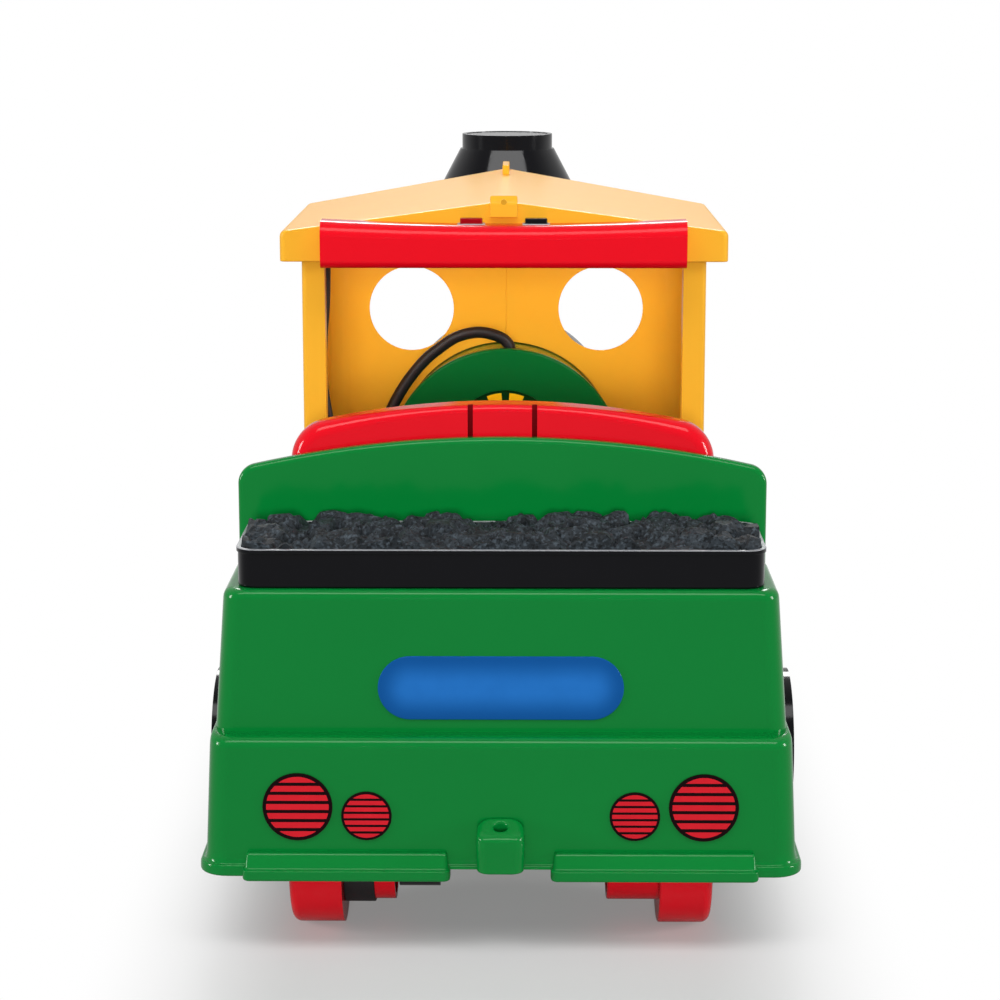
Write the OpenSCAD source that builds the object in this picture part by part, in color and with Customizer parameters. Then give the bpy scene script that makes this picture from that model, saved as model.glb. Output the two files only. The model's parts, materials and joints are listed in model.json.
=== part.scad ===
// Ride-on steam train for a small child. A geared motor turns the left rear wheel, and the train
// runs on its wide treads on a floor, or on the narrower steps beside them on a toy track.
// Units are millimetres. +Y is the way that the train runs, +Z is up, and the origin lies on the
// floor under the middle of the train.

/* [Overall] */
// Length from the tow hook to the tip of the pilot
overall_len = 1000; // [960:5:1060]
// Height of the skirt's lower edge above the floor
skirt_z = 67; // [60:1:72]
// Wall of the large mouldings
wall = 4; // [3:0.5:5]

/* [Base] */
// Width of the base at its deck
base_w = 500; // [494:1:516]
// Height of the deck above the floor
deck_z = 189; // [185:1:196]
// How far the skirt spreads from the deck down to its edge, on each side
base_draft = 6; // [3:0.5:8]
// Radius of the base's upright corners
base_corner_r = 20; // [14:1:30]
// Radius of the deck's edge
base_edge_r = 8; // [4:0.5:12]
// Reach of the tow hook behind the base
hook_reach = 28; // [26:1:36]
// Reach of the pilot in front of the base, as a share of the overall length
pilot_share = 0.095; // [0.08:0.001:0.12]

/* [Tender] */
// How far the tender's top stands in from the deck's sides
tender_in = 12; // [9:0.5:16]
// Length of the tender box, as a share of the overall length
tender_share = 0.14; // [0.138:0.001:0.156]
// Height of the tender box's top above the floor
tender_top_z = 313; // [300:1:325]
// Step from the base's rear wall to the tender's
tender_step = 22; // [14:1:30]
// Thickness of the arched panel behind the seat
panel_t = 14; // [10:1:16]
// Height of the panel's crown above the floor
panel_top_z = 421; // [405:1:430]
// How much lower the panel's ends are than its crown
panel_drop = 28; // [20:1:34]

/* [Coal tray] */
// How far the coal tray stands in from the tender's sides
tray_in = 10.5; // [7:0.5:16]
// Height of the tray's wall
tray_h = 34; // [28:1:40]
// How far the coal stands above the tray's rim
coal_rise = 13; // [8:1:18]

/* [Seat] */
// Width of the seat's back
seat_w = 384; // [370:1:404]
// Width of the seat's pan
pan_w = 316; // [300:1:320]
// Length of the seat from front to back, as a share of the overall length
seat_share = 0.214; // [0.2:0.001:0.224]
// Height of the seat back's crown above the floor
seat_top_z = 448; // [436:1:456]
// Height of the pan above the floor
pan_z = 285; // [275:1:300]
// Thickness of the seat's back
seat_back_t = 36; // [30:1:44]

/* [Cab] */
// Width of the cab
cab_w = 385; // [378:1:400]
// Length of the cab, as a share of the overall length
cab_share = 0.306; // [0.29:0.001:0.32]
// Distance from the panel behind the seat to the cab, as a share of the overall length
cab_setback_share = 0.156; // [0.15:0.001:0.17]
// Width of the cab's rear posts
post_w = 22; // [18:1:24]
// Radius of the round windows
window_r = 45; // [38:1:48]
// Distance between the middles of the windows
window_pitch = 202; // [190:1:210]
// Height of the windows' middles above the floor
window_z = 480; // [475:1:495]

/* [Roof] */
// Width of the roof
roof_w = 425; // [415:1:450]
// Height of the eaves' lower edge above the floor
eave_z = 562; // [555:1:575]
// Height of the eaves
eave_h = 29; // [24:1:36]
// Rise of the ridge above the eaves, at the front
ridge_rise = 37; // [30:1:44]
// How much lower the ridge is at the rear
ridge_sag = 9; // [4:1:12]

/* [Handle bar] */
// Width of the handle bar
bar_w = 343; // [320:1:370]
// Height of the handle bar
bar_h = 42; // [40:1:48]
// Depth of the handle bar
bar_d = 34; // [32:1:40]
// Distance between the two push buttons
button_pitch = 61; // [50:1:80]
// Travel of a push button
button_travel = 3; // [2:0.5:4]

/* [Boiler] */
// Radius of the boiler's barrel
boiler_r = 116; // [108:1:117]
// Height of the boiler's axis above the floor
boiler_z = 327; // [322:1:334]
// Radius of the backhead
backhead_r = 123; // [119:1:126]
// Radius of the gauge in the backhead
gauge_r = 57; // [44:1:60]
// Radius of the smokebox
smokebox_r = 120; // [119:0.5:125]
// Length of the smokebox, as a share of the overall length
smokebox_share = 0.12; // [0.112:0.001:0.128]

/* [Chimney] */
// Height of the chimney's top above the floor
chimney_top_z = 657; // [640:1:680]
// Radius of the chimney's mouth
chimney_top_r = 50; // [44:1:58]
// Radius of the chimney where it is widest
chimney_wide_r = 90; // [80:1:100]
// Radius of the chimney's neck
chimney_neck_r = 36; // [30:1:40]

/* [Wheels] */
// Radius of the treads that run on the floor
wheel_r = 75; // [72:1:78]
// Radius of the steps that run on a track
step_r = 55; // [52:1:60]
// Width of a tread
tread_w = 46; // [40:1:50]
// Width of a step
step_w = 45; // [40:1:47]
// Distance from the deck's side to a wheel's outer face
wheel_in = 66; // [56:0.5:68]
// Radius of the axles
axle_r = 5; // [4:0.5:6]
// Distance from the base's rear wall to the rear axle
rear_axle_in = 82; // [80:1:100]
// Distance from the base's front wall to the front axle
front_axle_in = 115; // [100:1:130]

/* [Gear train] */
// Module of the gears
gear_module = 2; // [1.75:0.05:2.1]
// Teeth of the gear on the driven wheel
final_teeth = 36; // [34:1:38]
// Teeth of the idler's large gear
idler_teeth = 30; // [28:1:32]
// Teeth of the idler's small gear
idler_pinion_teeth = 12; // [12:1:13]
// Teeth of the motor's pinion
motor_teeth = 10; // [10:1:11]
// Thickness of each gear
gear_t = 10; // [8:0.5:11]

/* [Side wheels] */
// Radius of the moulded driving wheels on the sides
cover_r = 70; // [64:1:74]
// Height of their middles above the floor
cover_z = 116; // [112:1:124]
// Distance between their middles, as a share of the overall length
cover_pitch_share = 0.25; // [0.23:0.005:0.26]

/* [Hidden] */

// Facets of round faces, of the round children of a hull, and of large rounds under small pieces
$fn = 64;
hull_fn = 32;
fine_fn = 180;
// Every cut runs past its face by this much
overrun = 1;
// Thin slices that a hull joins
slice_t = 0.5;
// Gap between pieces that lift apart, and the fit of a shaft in its bore
part_gap = 0.3;
bore_gap = 0.05;
// Gap between round faces that lie on each other
seat_fit = 0.2;

// Lengths along the train
pilot_len = overall_len * pilot_share;
tender_len = overall_len * tender_share;
seat_len = overall_len * seat_share;
cab_len = overall_len * cab_share;
cab_setback = overall_len * cab_setback_share;
smokebox_len = overall_len * smokebox_share;
cover_pitch = overall_len * cover_pitch_share;

// Places along the train, from the tow hook forward
rear_y = -overall_len / 2;
front_y = overall_len / 2;
base_y0 = rear_y + hook_reach;
base_y1 = front_y - pilot_len;
base_len = base_y1 - base_y0;
base_mid_y = (base_y0 + base_y1) / 2;
tender_y0 = base_y0 + tender_step;
panel_y0 = tender_y0 + tender_len;
tender_y1 = panel_y0 + panel_t;
seat_clear = 2;
seat_y0 = tender_y1 + seat_clear;
seat_y1 = seat_y0 + seat_len;
cab_y0 = tender_y1 + cab_setback;
cab_y1 = cab_y0 + cab_len;
rear_axle_y = base_y0 + rear_axle_in;
front_axle_y = base_y1 - front_axle_in;

// Base
base_foot_w = base_w + 2 * base_draft;
flange_h = 10;
flange_out = 4.5;
base_inner_w = base_w - 2 * wall;
lip_x = 43;
lip_in = 29;
lip_w = base_w / 2 - lip_x - lip_in;
lip_h = 22;
lip_d = 18;
lip_r = 6;
foot_w = 330;
foot_z = 90;
foot_gap = 12;
foot_corner_r = 16;
foot_y0 = seat_y1 + foot_gap;
foot_y1 = cab_y1 - wall - foot_gap;
rib_h = 30;

// Tender
tender_w = base_w - 2 * tender_in;
tender_draft = 9;
tender_corner_r = 18;
tender_edge_r = 7;
panel_corner_r = 18;
panel_half = tender_w / 2;

// Coal tray
tray_setback = 8;
tray_front_gap = 7;
tray_w = tender_w - 2 * tray_in;
tray_len = tender_len - tray_setback - tray_front_gap;
tray_wall = 3;
tray_corner_r = 18;
tray_bead = 1.2;
tray_bead_h = 4;
tray_lip = 14;
tray_skirt_h = 10;
tray_skirt_gap = 0.6;
tray_y0 = tender_y0 + tray_setback;
tray_mid_y = tray_y0 + tray_len / 2;
tray_hole_w = tray_w - 2 * tray_lip;
tray_hole_len = tray_len - 2 * tray_lip;
tray_hole_r = 6;
tray_rim_z = tender_top_z + tray_h;
coal_gap = 0.4;
coal_columns = 38;
coal_rows = 10;
coal_lumps = 70;
coal_lump_r = 26;
coal_lump_spread = 12;
coal_seed = 11;
lump_flat_share = 0.45;
coal_w = tray_w - 2 * (tray_bead + tray_wall + coal_gap);
coal_len = tray_len - 2 * (tray_bead + tray_wall + coal_gap);
coal_floor_z = tender_top_z + tray_wall;
coal_dip = 6;
coal_low_z = tray_rim_z - coal_dip;

// Seat
seat_drop = 22;
seat_corner_r = 37;
seat_edge_r = 12;
seat_wall = 4;
seat_inside_share = 0.4;
pan_corner_r = 14;
pan_edge_r = 7;
dish_r = 420;
dish_depth = 7;
latch_w = 58;
latch_slot_w = 3;
latch_slot_d = 9;
latch_slot_h = 50;
pan_t = 23;
box_top_z = pan_z - pan_t;

// Battery
battery_w = 140;
battery_len = 66;
battery_h = 60;
battery_lip = 4;
terminal_r = 5;
terminal_h = 6;
terminal_pitch_share = 0.6;

// Cab
cab_corner_r = 25;
post_d = 20;
post_corner_r = 5;
frame_w = 150;
frame_h = 120;
frame_bar = 14;
frame_t = 2.5;
frame_r = 10;
frame_z = 470;
boiler_cut_gap = 1;

// Roof
roof_rear_over = 8;
roof_front_over = 2;
roof_y0 = cab_y0 - roof_rear_over;
roof_y1 = cab_y1 + roof_front_over;
eave_top_z = eave_z + eave_h;
ridge_front_z = eave_top_z + ridge_rise;
ridge_rear_z = ridge_front_z - ridge_sag;
roof_wall = 4;
lug_w = 26;
lug_d = 6;
lug_h = 20;
lug_set = 14.5;
fin_w = 7;
fin_h = 8;
fin_len = 60;
lug_screw_r = 3;
lug_screw_t = 1.5;
lug_screw_share = 0.72;
lug_z0 = ridge_rear_z - lug_set;
lug_screw_z = lug_z0 + lug_h * lug_screw_share;

// Handle bar
bar_drop = 3;
bar_z0 = eave_z - bar_drop;
bar_top_z = bar_z0 + bar_h;
bar_top_r = 14;
bar_low_r = 8;
bar_wall = 3;
button_w = 21;
button_len = 11;
button_r = 2;
button_rise = 5;
button_gap = 0.3;
button_flange = 2;
button_flange_out = 2;
bezel_w = 26;
bezel_len = 17;
bezel_t = 2;
bezel_r = 3;
button_y = roof_y0 - (bar_d - bar_top_r) / 2;
board_w = 110;
board_len = 14;
board_t = 1.6;
switch_w = 8;
switch_h = 5;
board_post = 8;

// Boiler
backhead_t = 8;
backhead_edge_r = 3;
backhead_share = 0.34;
backhead_y = cab_y1 - cab_len * backhead_share;
gauge_rise = 23;
gauge_recess = 3;
gauge_t = 1.5;
gauge_gap = 0.3;
barrel_y0 = backhead_y + backhead_t;
smokebox_gap = 15;
smokebox_y1 = base_y1 - smokebox_gap;
smokebox_y0 = smokebox_y1 - smokebox_len;
spigot_len = 10;
band_w = 8;
band_t = 1.5;
band_from_cab = 1;
door_r = 102;
door_rise = 16;
door_rim = 5;
lamp_r = 40;
lamp_len = 26;
lamp_wall = 5;
lens_rise = 9;
lens_t = 4;
saddle_w = 150;
saddle_share = 0.75;
saddle_len = smokebox_len * saddle_share;
saddle_corner_r = 8;
dome_r_share = 0.327;
dome_flare_share = 0.077;
barrel_show = smokebox_y0 - cab_y1;
dome_r = barrel_show * dome_r_share;
dome_h = 34;
dome_flare = barrel_show * dome_flare_share;
dome_y = cab_y1 + barrel_show / 2;

// Chimney
chimney_wall = 4;
chimney_in_share = 0.6;
chimney_y = smokebox_y1 - smokebox_len * chimney_in_share;
collar_h = 16;
collar_step = 2;
chimney_band_h = 8;
cone_h = 51;
flare_h = 90;
chimney_foot_r = 44;
chimney_foot_h = 26;
cap_dip = 0.6;
cap_t = 3;
cap_rim = 5;
chimney_foot_z = boiler_z + smokebox_r;
chimney_cone_z = chimney_top_z - collar_h;
chimney_band_z = chimney_cone_z - cone_h;

// Wheels
wheel_axis_z = wheel_r;
tread_t = 10;
step_t = 5;
web_t = 5;
hub_r = 14;
hub_set = 6;
tread_edge_r = 8;
wheel_face_x = base_w / 2 - wheel_in;
tread_x = wheel_face_x - tread_w;
step_x = tread_x - step_w;
hub_x = wheel_face_x - hub_set;
ring_w = 27;
ring_t = 2.5;
cap_len = 9;
axle_half = hub_x + cap_len;
cap_r = 11;
cap_end = 3;
bracket_t = 10;
bracket_len = 40;
bracket_gap = 31;
bracket_x = step_x - bracket_gap;
bracket_drop = 16;
spacer_r = 9;
deck_low_z = deck_z - wall;

// Gear train
pressure_angle = 25;
addendum_share = 0.8;
dedendum_share = 1.05;
gear_backlash = 0.35;
hex_r = 15;
hex_gap = 0.1;
case_wall = 3;
case_room = 3;
case_r = gear_r(final_teeth) + addendum_share * gear_module + case_room + case_wall;
final_gap = 9;
final_x = step_x - final_gap;
gear_step = 4;
idler_x = final_x - gear_t - gear_step;
idler_angle = 40;
motor_angle = 70;
idler_y = rear_axle_y + gear_reach(final_teeth, idler_pinion_teeth) * cos(idler_angle);
idler_z = wheel_axis_z + gear_reach(final_teeth, idler_pinion_teeth) * sin(idler_angle);
motor_y = idler_y + gear_reach(idler_teeth, motor_teeth) * cos(motor_angle);
motor_z = idler_z + gear_reach(idler_teeth, motor_teeth) * sin(motor_angle);
case_x1 = final_x + case_room + case_wall;
case_x0 = idler_x - gear_t - case_room - case_wall;
case_split_x = final_x + case_room;
pin_r = 3;
motor_r = 17;
motor_len = 52;
motor_shaft_r = 2;
motor_boss_r = 6;
motor_boss_len = 2;
case_motor_r = 20;
case_idler_r = gear_r(idler_teeth) + addendum_share * gear_module + case_room + case_wall;
case_pad_w = 24;
case_pad_len = 30;
case_screw_r = 3;
case_screw_t = 2;
hub_hole_gap = 1.5;

// Side wheels and rods
cover_plate_t = 3;
cover_rim_w = 12;
cover_t = 8;
cover_hub_r = 15;
cover_spokes = 10;
cover_spoke_w = 8;
cover_spoke_t = 6;
cover_boss_r = 28;
cover_pin_r = 6;
cover_first_share = 0.264;
cover_x = base_foot_w / 2 + flange_out + part_gap;
cover_y0 = tender_y1 + cover_pitch * cover_first_share;
cover_boss_x = skirt_x(cover_z - cover_boss_r) + seat_fit;
crank_r = 38;
rod_w = 16;
rod_t = 3.5;
rod_eye_r = 13;
rod_gap = 0.3;

// Front
beam_in = 26.5;
beam_w = base_w - 2 * beam_in;
beam_d = 20;
beam_z0 = 112;
beam_h = 52;
beam_r = 9;
pilot_in = 30;
pilot_w = beam_w - 2 * pilot_in;
pilot_low_z = 34;
pilot_rail = 16;
pilot_slats = 11;
slat_w = 13;
slat_t = 10;
pilot_side_reach = 20;

// Tow hook
hook_w = 42;
hook_z0 = 77;
hook_h = 43;
hook_r = 9;
hook_edge_r = 10;
hook_side_r = 8;
notch_h = 7;
tow_r = 6;
tow_in = 16;

// Tail reflectors
reflector_t = 1.2;
big_reflector_r = 30;
big_reflector_in = 76;
big_reflector_x = base_w / 2 - big_reflector_in;
big_reflector_z = 128.5;
small_reflector_r = 21.7;
reflector_pitch = 59;
small_reflector_x = big_reflector_x - reflector_pitch;
small_reflector_z = 120.5;

// Badge plate
badge_w = 211;
badge_h = 56;
badge_z = 228;
badge_t = 1.2;

// Lead from the boiler to the handle bar: points chosen by hand on its way through the cab, for a
// lead that reaches back by lead_reach
lead_r = 6;
lead_sides = 8;
lead_steps = 2;
grommet_r = 12;
grommet_h = 4;
lead_room = 0.8;
socket_w = 22;
socket_h = 12;
lead_from_boiler = [
  [0, 0, -8], [0, 0, 0], [-1, 0, 7], [-7, 1, 14], [-19, 2, 19], [-33, 3, 21], [-47, 3, 19], [-60, 3, 14],
  [-73, 3, 5], [-87, 2, -6],
  [-99, 0, -19], [-111, -3, -35], [-122, -7, -54], [-134, -12, -79]
];
lead_to_post = [
  [31, 179, -224], [22, 165, -250], [14, 143, -271], [8, 115, -281], [5, 87, -278], [4, 59, -262],
  [5, 35, -236], [5, 18, -202], [1, 7, -162], [-4, 1, -122], [-4, 0, -82], [-1, 0, -42], [0, 0, -6],
  [0, 0, 13]
];
lead_reach = 198;
lead_post_in = 2;
lead_start_x = 5;
lead_ahead = 23;
lead_post_gap = 1;
lead_start = [lead_start_x, backhead_y + lead_ahead, boiler_z + boiler_r];
lead_post = [post_w - cab_w / 2 - lead_post_in, cab_y0 + post_d + lead_r + lead_post_gap, eave_z];
lead_stretch = (lead_start[1] - lead_post[1]) / lead_reach;
lead_route = concat([for (p = lead_from_boiler) lead_start + p],
  [for (p = lead_to_post) lead_post + [p[0], p[1] * lead_stretch, p[2]]]);

// A rectangle with round corners, centred, w across and l along
module round_rect(w, l, r) {
  square([w - 2 * r, l], center = true);
  square([w, l - 2 * r], center = true);
  for (sx = [-1, 1], sy = [-1, 1])
    translate([sx * (w / 2 - r), sy * (l / 2 - r)]) circle(r);
}

// An upright block with round corners that stands on z0
module round_block(w, l, r, y, z0, z1) {
  translate([0, y, z0]) linear_extrude(z1 - z0) round_rect(w, l, r);
}

// Four ring corners that give a hulled block its soft top edge
module soft_corners(w, l, r, edge) {
  for (sx = [-1, 1], sy = [-1, 1])
    translate([sx * (w / 2 - r), sy * (l / 2 - r), -edge])
      rotate_extrude($fn = hull_fn) intersection() {
        translate([r - edge, 0]) circle(edge, $fn = hull_fn);
        translate([0, -edge]) square([r, 2 * edge]);
      }
}

// A block that leans in from foot_w to top_w, with round corners and a soft top edge
module soft_block(foot_w, top_w, l, r, edge, y, z0, z1) {
  hull() {
    translate([0, y, z0]) linear_extrude(slice_t) round_rect(foot_w, l, r, $fn = hull_fn);
    translate([0, y, z1]) soft_corners(top_w, l, r, edge);
  }
}

// A round piece turned about an axis along Y, drawn in the plane of radius and length
module turned_y(y, z) {
  translate([0, y, z]) rotate([-90, 0, 0]) rotate_extrude() children();
}

// A round piece turned about an axis along X: side +1 runs to the right, -1 to the left
module turned_x(side, y, z) {
  translate([0, y, z]) rotate([0, side * 90, 0]) rotate_extrude() children();
}

// A plain cylinder along X from x0 to x1
module bar_x(x0, x1, y, z, r) {
  translate([x0, y, z]) rotate([0, 90, 0]) cylinder(r = r, h = x1 - x0);
}

// A plain cylinder along Y from y0 to y1
module bar_y(x, y0, y1, z, r) {
  translate([x, y0, z]) rotate([-90, 0, 0]) cylinder(r = r, h = y1 - y0);
}

// An outline drawn in X and Z, pulled along Y from y0 to y1
module pulled_y(y0, y1) {
  translate([0, y1, 0]) rotate([90, 0, 0]) linear_extrude(y1 - y0) children();
}

// Arched outline: straight sides, round shoulders and a crown that is one large arc
function arch_radius(half, drop) = (half * half + drop * drop) / (2 * drop);
function arc_points(cx, cz, r, a0, a1, n) =
  [for (i = [0:n]) let (a = a0 + (a1 - a0) * i / n) [cx + r * cos(a), cz + r * sin(a)]];
function arch_points(half, crown_r, crown_z, r, foot_z) = let (
    cz = crown_z - crown_r,
    sx = half - r,
    sz = cz + sqrt(pow(crown_r - r, 2) - sx * sx),
    a = atan2(sz - cz, sx))
  concat([[-half, foot_z], [half, foot_z]], arc_points(sx, sz, r, 0, a, 6),
    arc_points(0, cz, crown_r, a, 180 - a, 14), arc_points(-sx, sz, r, 180 - a, 180, 6));

edge_shares = [[1, 0], [0.29, 0.29], [0, 1]];

// An arched slab with soft edges front and back, grown or shrunk by grow
module arch_slab(half, drop, crown_z, r, foot_z, y0, y1, edge, grow = 0) {
  crown_r = arch_radius(half, drop);
  hull() for (s = edge_shares) {
    inset = s[0] * edge - grow;
    for (y = [y0 - grow + s[1] * edge, y1 + grow - s[1] * edge - slice_t])
      pulled_y(y, y + slice_t)
        polygon(arch_points(half - inset, crown_r - inset, crown_z - inset, r - inset, foot_z));
  }
}

// Base with its skirt, flange, rear lips and footwell
module base_inside() {
  round_block(base_inner_w, base_len - 2 * wall, base_corner_r - wall, base_mid_y,
    skirt_z - overrun, deck_low_z);
}

module rear_lip(side) {
  translate([side * (lip_x + lip_w / 2), base_y0 + (lip_r - lip_d) / 2, skirt_z])
    linear_extrude(lip_h) round_rect(lip_w, lip_d + lip_r, lip_r);
}

module footwell(grow, z0, z1) {
  round_block(foot_w + 2 * grow, foot_y1 - foot_y0 + 2 * grow, foot_corner_r + grow,
    (foot_y0 + foot_y1) / 2, z0, z1);
}

module cross_rib(y) {
  translate([-base_inner_w / 2 - overrun, y - wall / 2, deck_low_z - rib_h])
    cube([base_inner_w + 2 * overrun, wall, rib_h + overrun]);
}

module base_body() color("forestgreen") difference() {
  union() {
    difference() {
      union() {
        soft_block(base_foot_w, base_w, base_len, base_corner_r, base_edge_r, base_mid_y, skirt_z, deck_z);
        round_block(base_foot_w + 2 * flange_out, base_len + 2 * flange_out, base_corner_r + flange_out,
          base_mid_y, skirt_z, skirt_z + flange_h);
        for (side = [-1, 1]) rear_lip(side);
      }
      base_inside();
    }
    footwell(wall, foot_z - wall, deck_low_z + wall / 2);
    for (y = [tender_y1, foot_y1 + foot_gap]) cross_rib(y);
  }
  footwell(0, foot_z, deck_z + overrun);
  translate([-lip_x, base_y0 - flange_out - overrun, skirt_z - overrun])
    cube([2 * lip_x, flange_out + wall + 2 * overrun, notch_h + overrun]);
}

// Tender box, open at its top under the coal tray
module tender_body() color("forestgreen") difference() {
  soft_block(tender_w + 2 * tender_draft, tender_w, tender_len, tender_corner_r, tender_edge_r,
    tender_y0 + tender_len / 2, deck_z, tender_top_z);
  round_block(tender_w - 2 * wall, tender_len - 2 * wall, tender_corner_r - wall,
    tender_y0 + tender_len / 2, deck_z + wall, tender_top_z - wall);
  round_block(tray_hole_w, tray_hole_len, tray_hole_r, tray_mid_y, tender_top_z - 2 * wall,
    tender_top_z + overrun);
}

// Arched panel between the tender and the seat
module seat_panel() color("forestgreen")
  pulled_y(panel_y0, tender_y1)
    polygon(arch_points(panel_half, arch_radius(panel_half, panel_drop), panel_top_z, panel_corner_r,
      deck_z));

// Coal tray that lifts out, with a skirt that drops into the tender's top
module coal_tray() color("#16181c") difference() {
  union() {
    round_block(tray_w - 2 * tray_bead, tray_len - 2 * tray_bead, tray_corner_r - tray_bead,
      tray_mid_y, tender_top_z, tray_rim_z);
    round_block(tray_w, tray_len, tray_corner_r, tray_mid_y, tray_rim_z - tray_bead_h, tray_rim_z);
    round_block(tray_hole_w - 2 * tray_skirt_gap, tray_hole_len - 2 * tray_skirt_gap,
      tray_hole_r - tray_skirt_gap, tray_mid_y, tender_top_z - tray_skirt_h, tender_top_z + tray_wall / 2);
  }
  round_block(tray_w - 2 * (tray_bead + tray_wall), tray_len - 2 * (tray_bead + tray_wall),
    tray_corner_r - tray_bead - tray_wall, tray_mid_y, coal_floor_z, tray_rim_z + overrun);
  round_block(tray_hole_w - 2 * (tray_skirt_gap + tray_wall),
    tray_hole_len - 2 * (tray_skirt_gap + tray_wall), tray_hole_r - tray_skirt_gap - tray_wall,
    tray_mid_y, tender_top_z - tray_skirt_h - overrun, tender_top_z);
}

// Coal: lumps with seeded places and sizes, whose highest surface is the load's top
lump_x = rands(-0.5, 0.5, coal_lumps, coal_seed);
lump_y = rands(-0.5, 0.5, coal_lumps, coal_seed + 1);
lump_size = rands(0, 1, coal_lumps, coal_seed + 2);
function lump_top(i, x, y) = let (
    r = coal_lump_r - coal_lump_spread * lump_size[i],
    d = norm([x - lump_x[i] * coal_w, y - lump_y[i] * coal_len]) / r)
  d < 1 ? (coal_rise + coal_dip) * (1 - lump_flat_share * lump_size[i]) * sqrt(1 - d * d) : 0;
function coal_top(x, y) = coal_low_z + max([for (i = [0:coal_lumps - 1]) lump_top(i, x, y)]);

function coal_place(c, r) = [(c / coal_columns - 1 / 2) * coal_w, (r / coal_rows - 1 / 2) * coal_len];

module coal_heap() {
  across = coal_columns + 1;
  along = coal_rows + 1;
  count = across * along;
  tops = [for (r = [0:coal_rows], c = [0:coal_columns]) let (p = coal_place(c, r))
    [p[0], p[1] + tray_mid_y, coal_top(p[0], p[1])]];
  feet = [for (t = tops) [t[0], t[1], coal_floor_z]];
  rim = concat([for (c = [0:coal_columns]) c],
    [for (r = [1:coal_rows]) r * across + coal_columns],
    [for (c = [coal_columns - 1:-1:0]) coal_rows * across + c],
    [for (r = [coal_rows - 1:-1:1]) r * across]);
  faces = concat(
    [for (r = [0:coal_rows - 1], c = [0:coal_columns - 1]) let (k = r * across + c)
      each [[k, k + across, k + 1], [k + 1, k + across, k + across + 1]]],
    [for (r = [0:coal_rows - 1], c = [0:coal_columns - 1]) let (k = count + r * across + c)
      each [[k, k + 1, k + across], [k + 1, k + across + 1, k + across]]],
    [for (i = [0:len(rim) - 1]) let (a = rim[i], b = rim[(i + 1) % len(rim)])
      each [[a, b, count + b], [a, count + b, count + a]]]);
  polyhedron(concat(tops, feet), faces);
}

module coal_load() color("#3b3d42") intersection() {
  coal_heap();
  round_block(coal_w, coal_len, tray_corner_r - tray_bead - tray_wall - coal_gap, tray_mid_y, coal_floor_z,
    tray_rim_z + 2 * coal_rise);
}

// Seat shell, open below, with a latch tongue between two slots in its back
module seat_form(grow, foot_drop, round_share) {
  arch_slab(seat_w / 2, seat_drop, seat_top_z, seat_corner_r, box_top_z + part_gap - foot_drop,
    seat_y0, seat_y0 + seat_back_t, seat_edge_r, grow);
  soft_block(pan_w + 2 * grow, pan_w + 2 * grow, seat_len + 2 * grow, pan_corner_r * round_share,
    pan_edge_r * round_share,
    (seat_y0 + seat_y1) / 2, box_top_z + part_gap - foot_drop, pan_z + grow);
}

module latch_slot(side) {
  translate([side * latch_w / 2 - latch_slot_w / 2, seat_y0 - overrun, seat_top_z - latch_slot_h])
    cube([latch_slot_w, latch_slot_d + overrun, latch_slot_h + overrun]);
}

module seat() color("crimson") difference() {
  seat_form(0, 0, 1);
  seat_form(-seat_wall - dish_depth / 2, overrun, seat_inside_share);
  translate([0, seat_y0 + seat_back_t, pan_z + dish_r - dish_depth]) rotate([-90, 0, 0])
    cylinder(r = dish_r, h = seat_len);
  for (side = [-1, 1]) latch_slot(side);
}

// Box under the seat, which holds the battery
module seat_box() color("forestgreen") difference() {
  round_block(pan_w, seat_len, pan_corner_r, (seat_y0 + seat_y1) / 2, deck_z, box_top_z);
  round_block(pan_w - 2 * wall, seat_len - 2 * wall, pan_corner_r - wall, (seat_y0 + seat_y1) / 2,
    deck_z + wall, box_top_z + overrun);
}

module battery() color("dimgray") {
  foot_z = deck_z + wall;
  mid_y = (seat_y0 + seat_y1) / 2;
  round_block(battery_w, battery_len, battery_lip, mid_y, foot_z, foot_z + battery_h);
  for (side = [-1, 1])
    translate([side * battery_w * terminal_pitch_share / 2, mid_y, foot_z + battery_h])
      cylinder(r = terminal_r, h = terminal_h);
}

// Roof: a low gable whose ridge falls a little to the rear
function gable(half, low_z, eave_top, ridge) =
  [[-half, low_z], [half, low_z], [half, eave_top], [0, ridge], [-half, eave_top]];

module gable_block(inset, low_z, drop) {
  rear = ridge_rear_z - drop;
  front = ridge_front_z - drop;
  hull() {
    pulled_y(roof_y0 + inset, roof_y0 + inset + slice_t)
      polygon(gable(roof_w / 2 - inset, low_z, eave_top_z - drop, rear));
    pulled_y(roof_y1 - inset - slice_t, roof_y1 - inset)
      polygon(gable(roof_w / 2 - inset, low_z, eave_top_z - drop, front));
  }
}

module roof() color("gold") {
  difference() {
    union() {
      gable_block(0, eave_z, 0);
      translate([-lug_w / 2, roof_y0 - lug_d, lug_z0])
        cube([lug_w, lug_d + roof_wall, lug_h]);
      translate([-fin_w / 2, roof_y1 - fin_len, ridge_front_z - fin_h])
        cube([fin_w, fin_len, 2 * fin_h]);
    }
    gable_block(roof_wall, eave_z - overrun, roof_wall);
    bar_y(0, roof_y0 - lug_d - overrun, roof_y0 - lug_d + lug_screw_t, lug_screw_z, lug_screw_r);
  }
}

module lug_screw() color("silver")
  bar_y(0, roof_y0 - lug_d, roof_y0 - lug_d + lug_screw_t, lug_screw_z, lug_screw_r - seat_fit);

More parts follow.
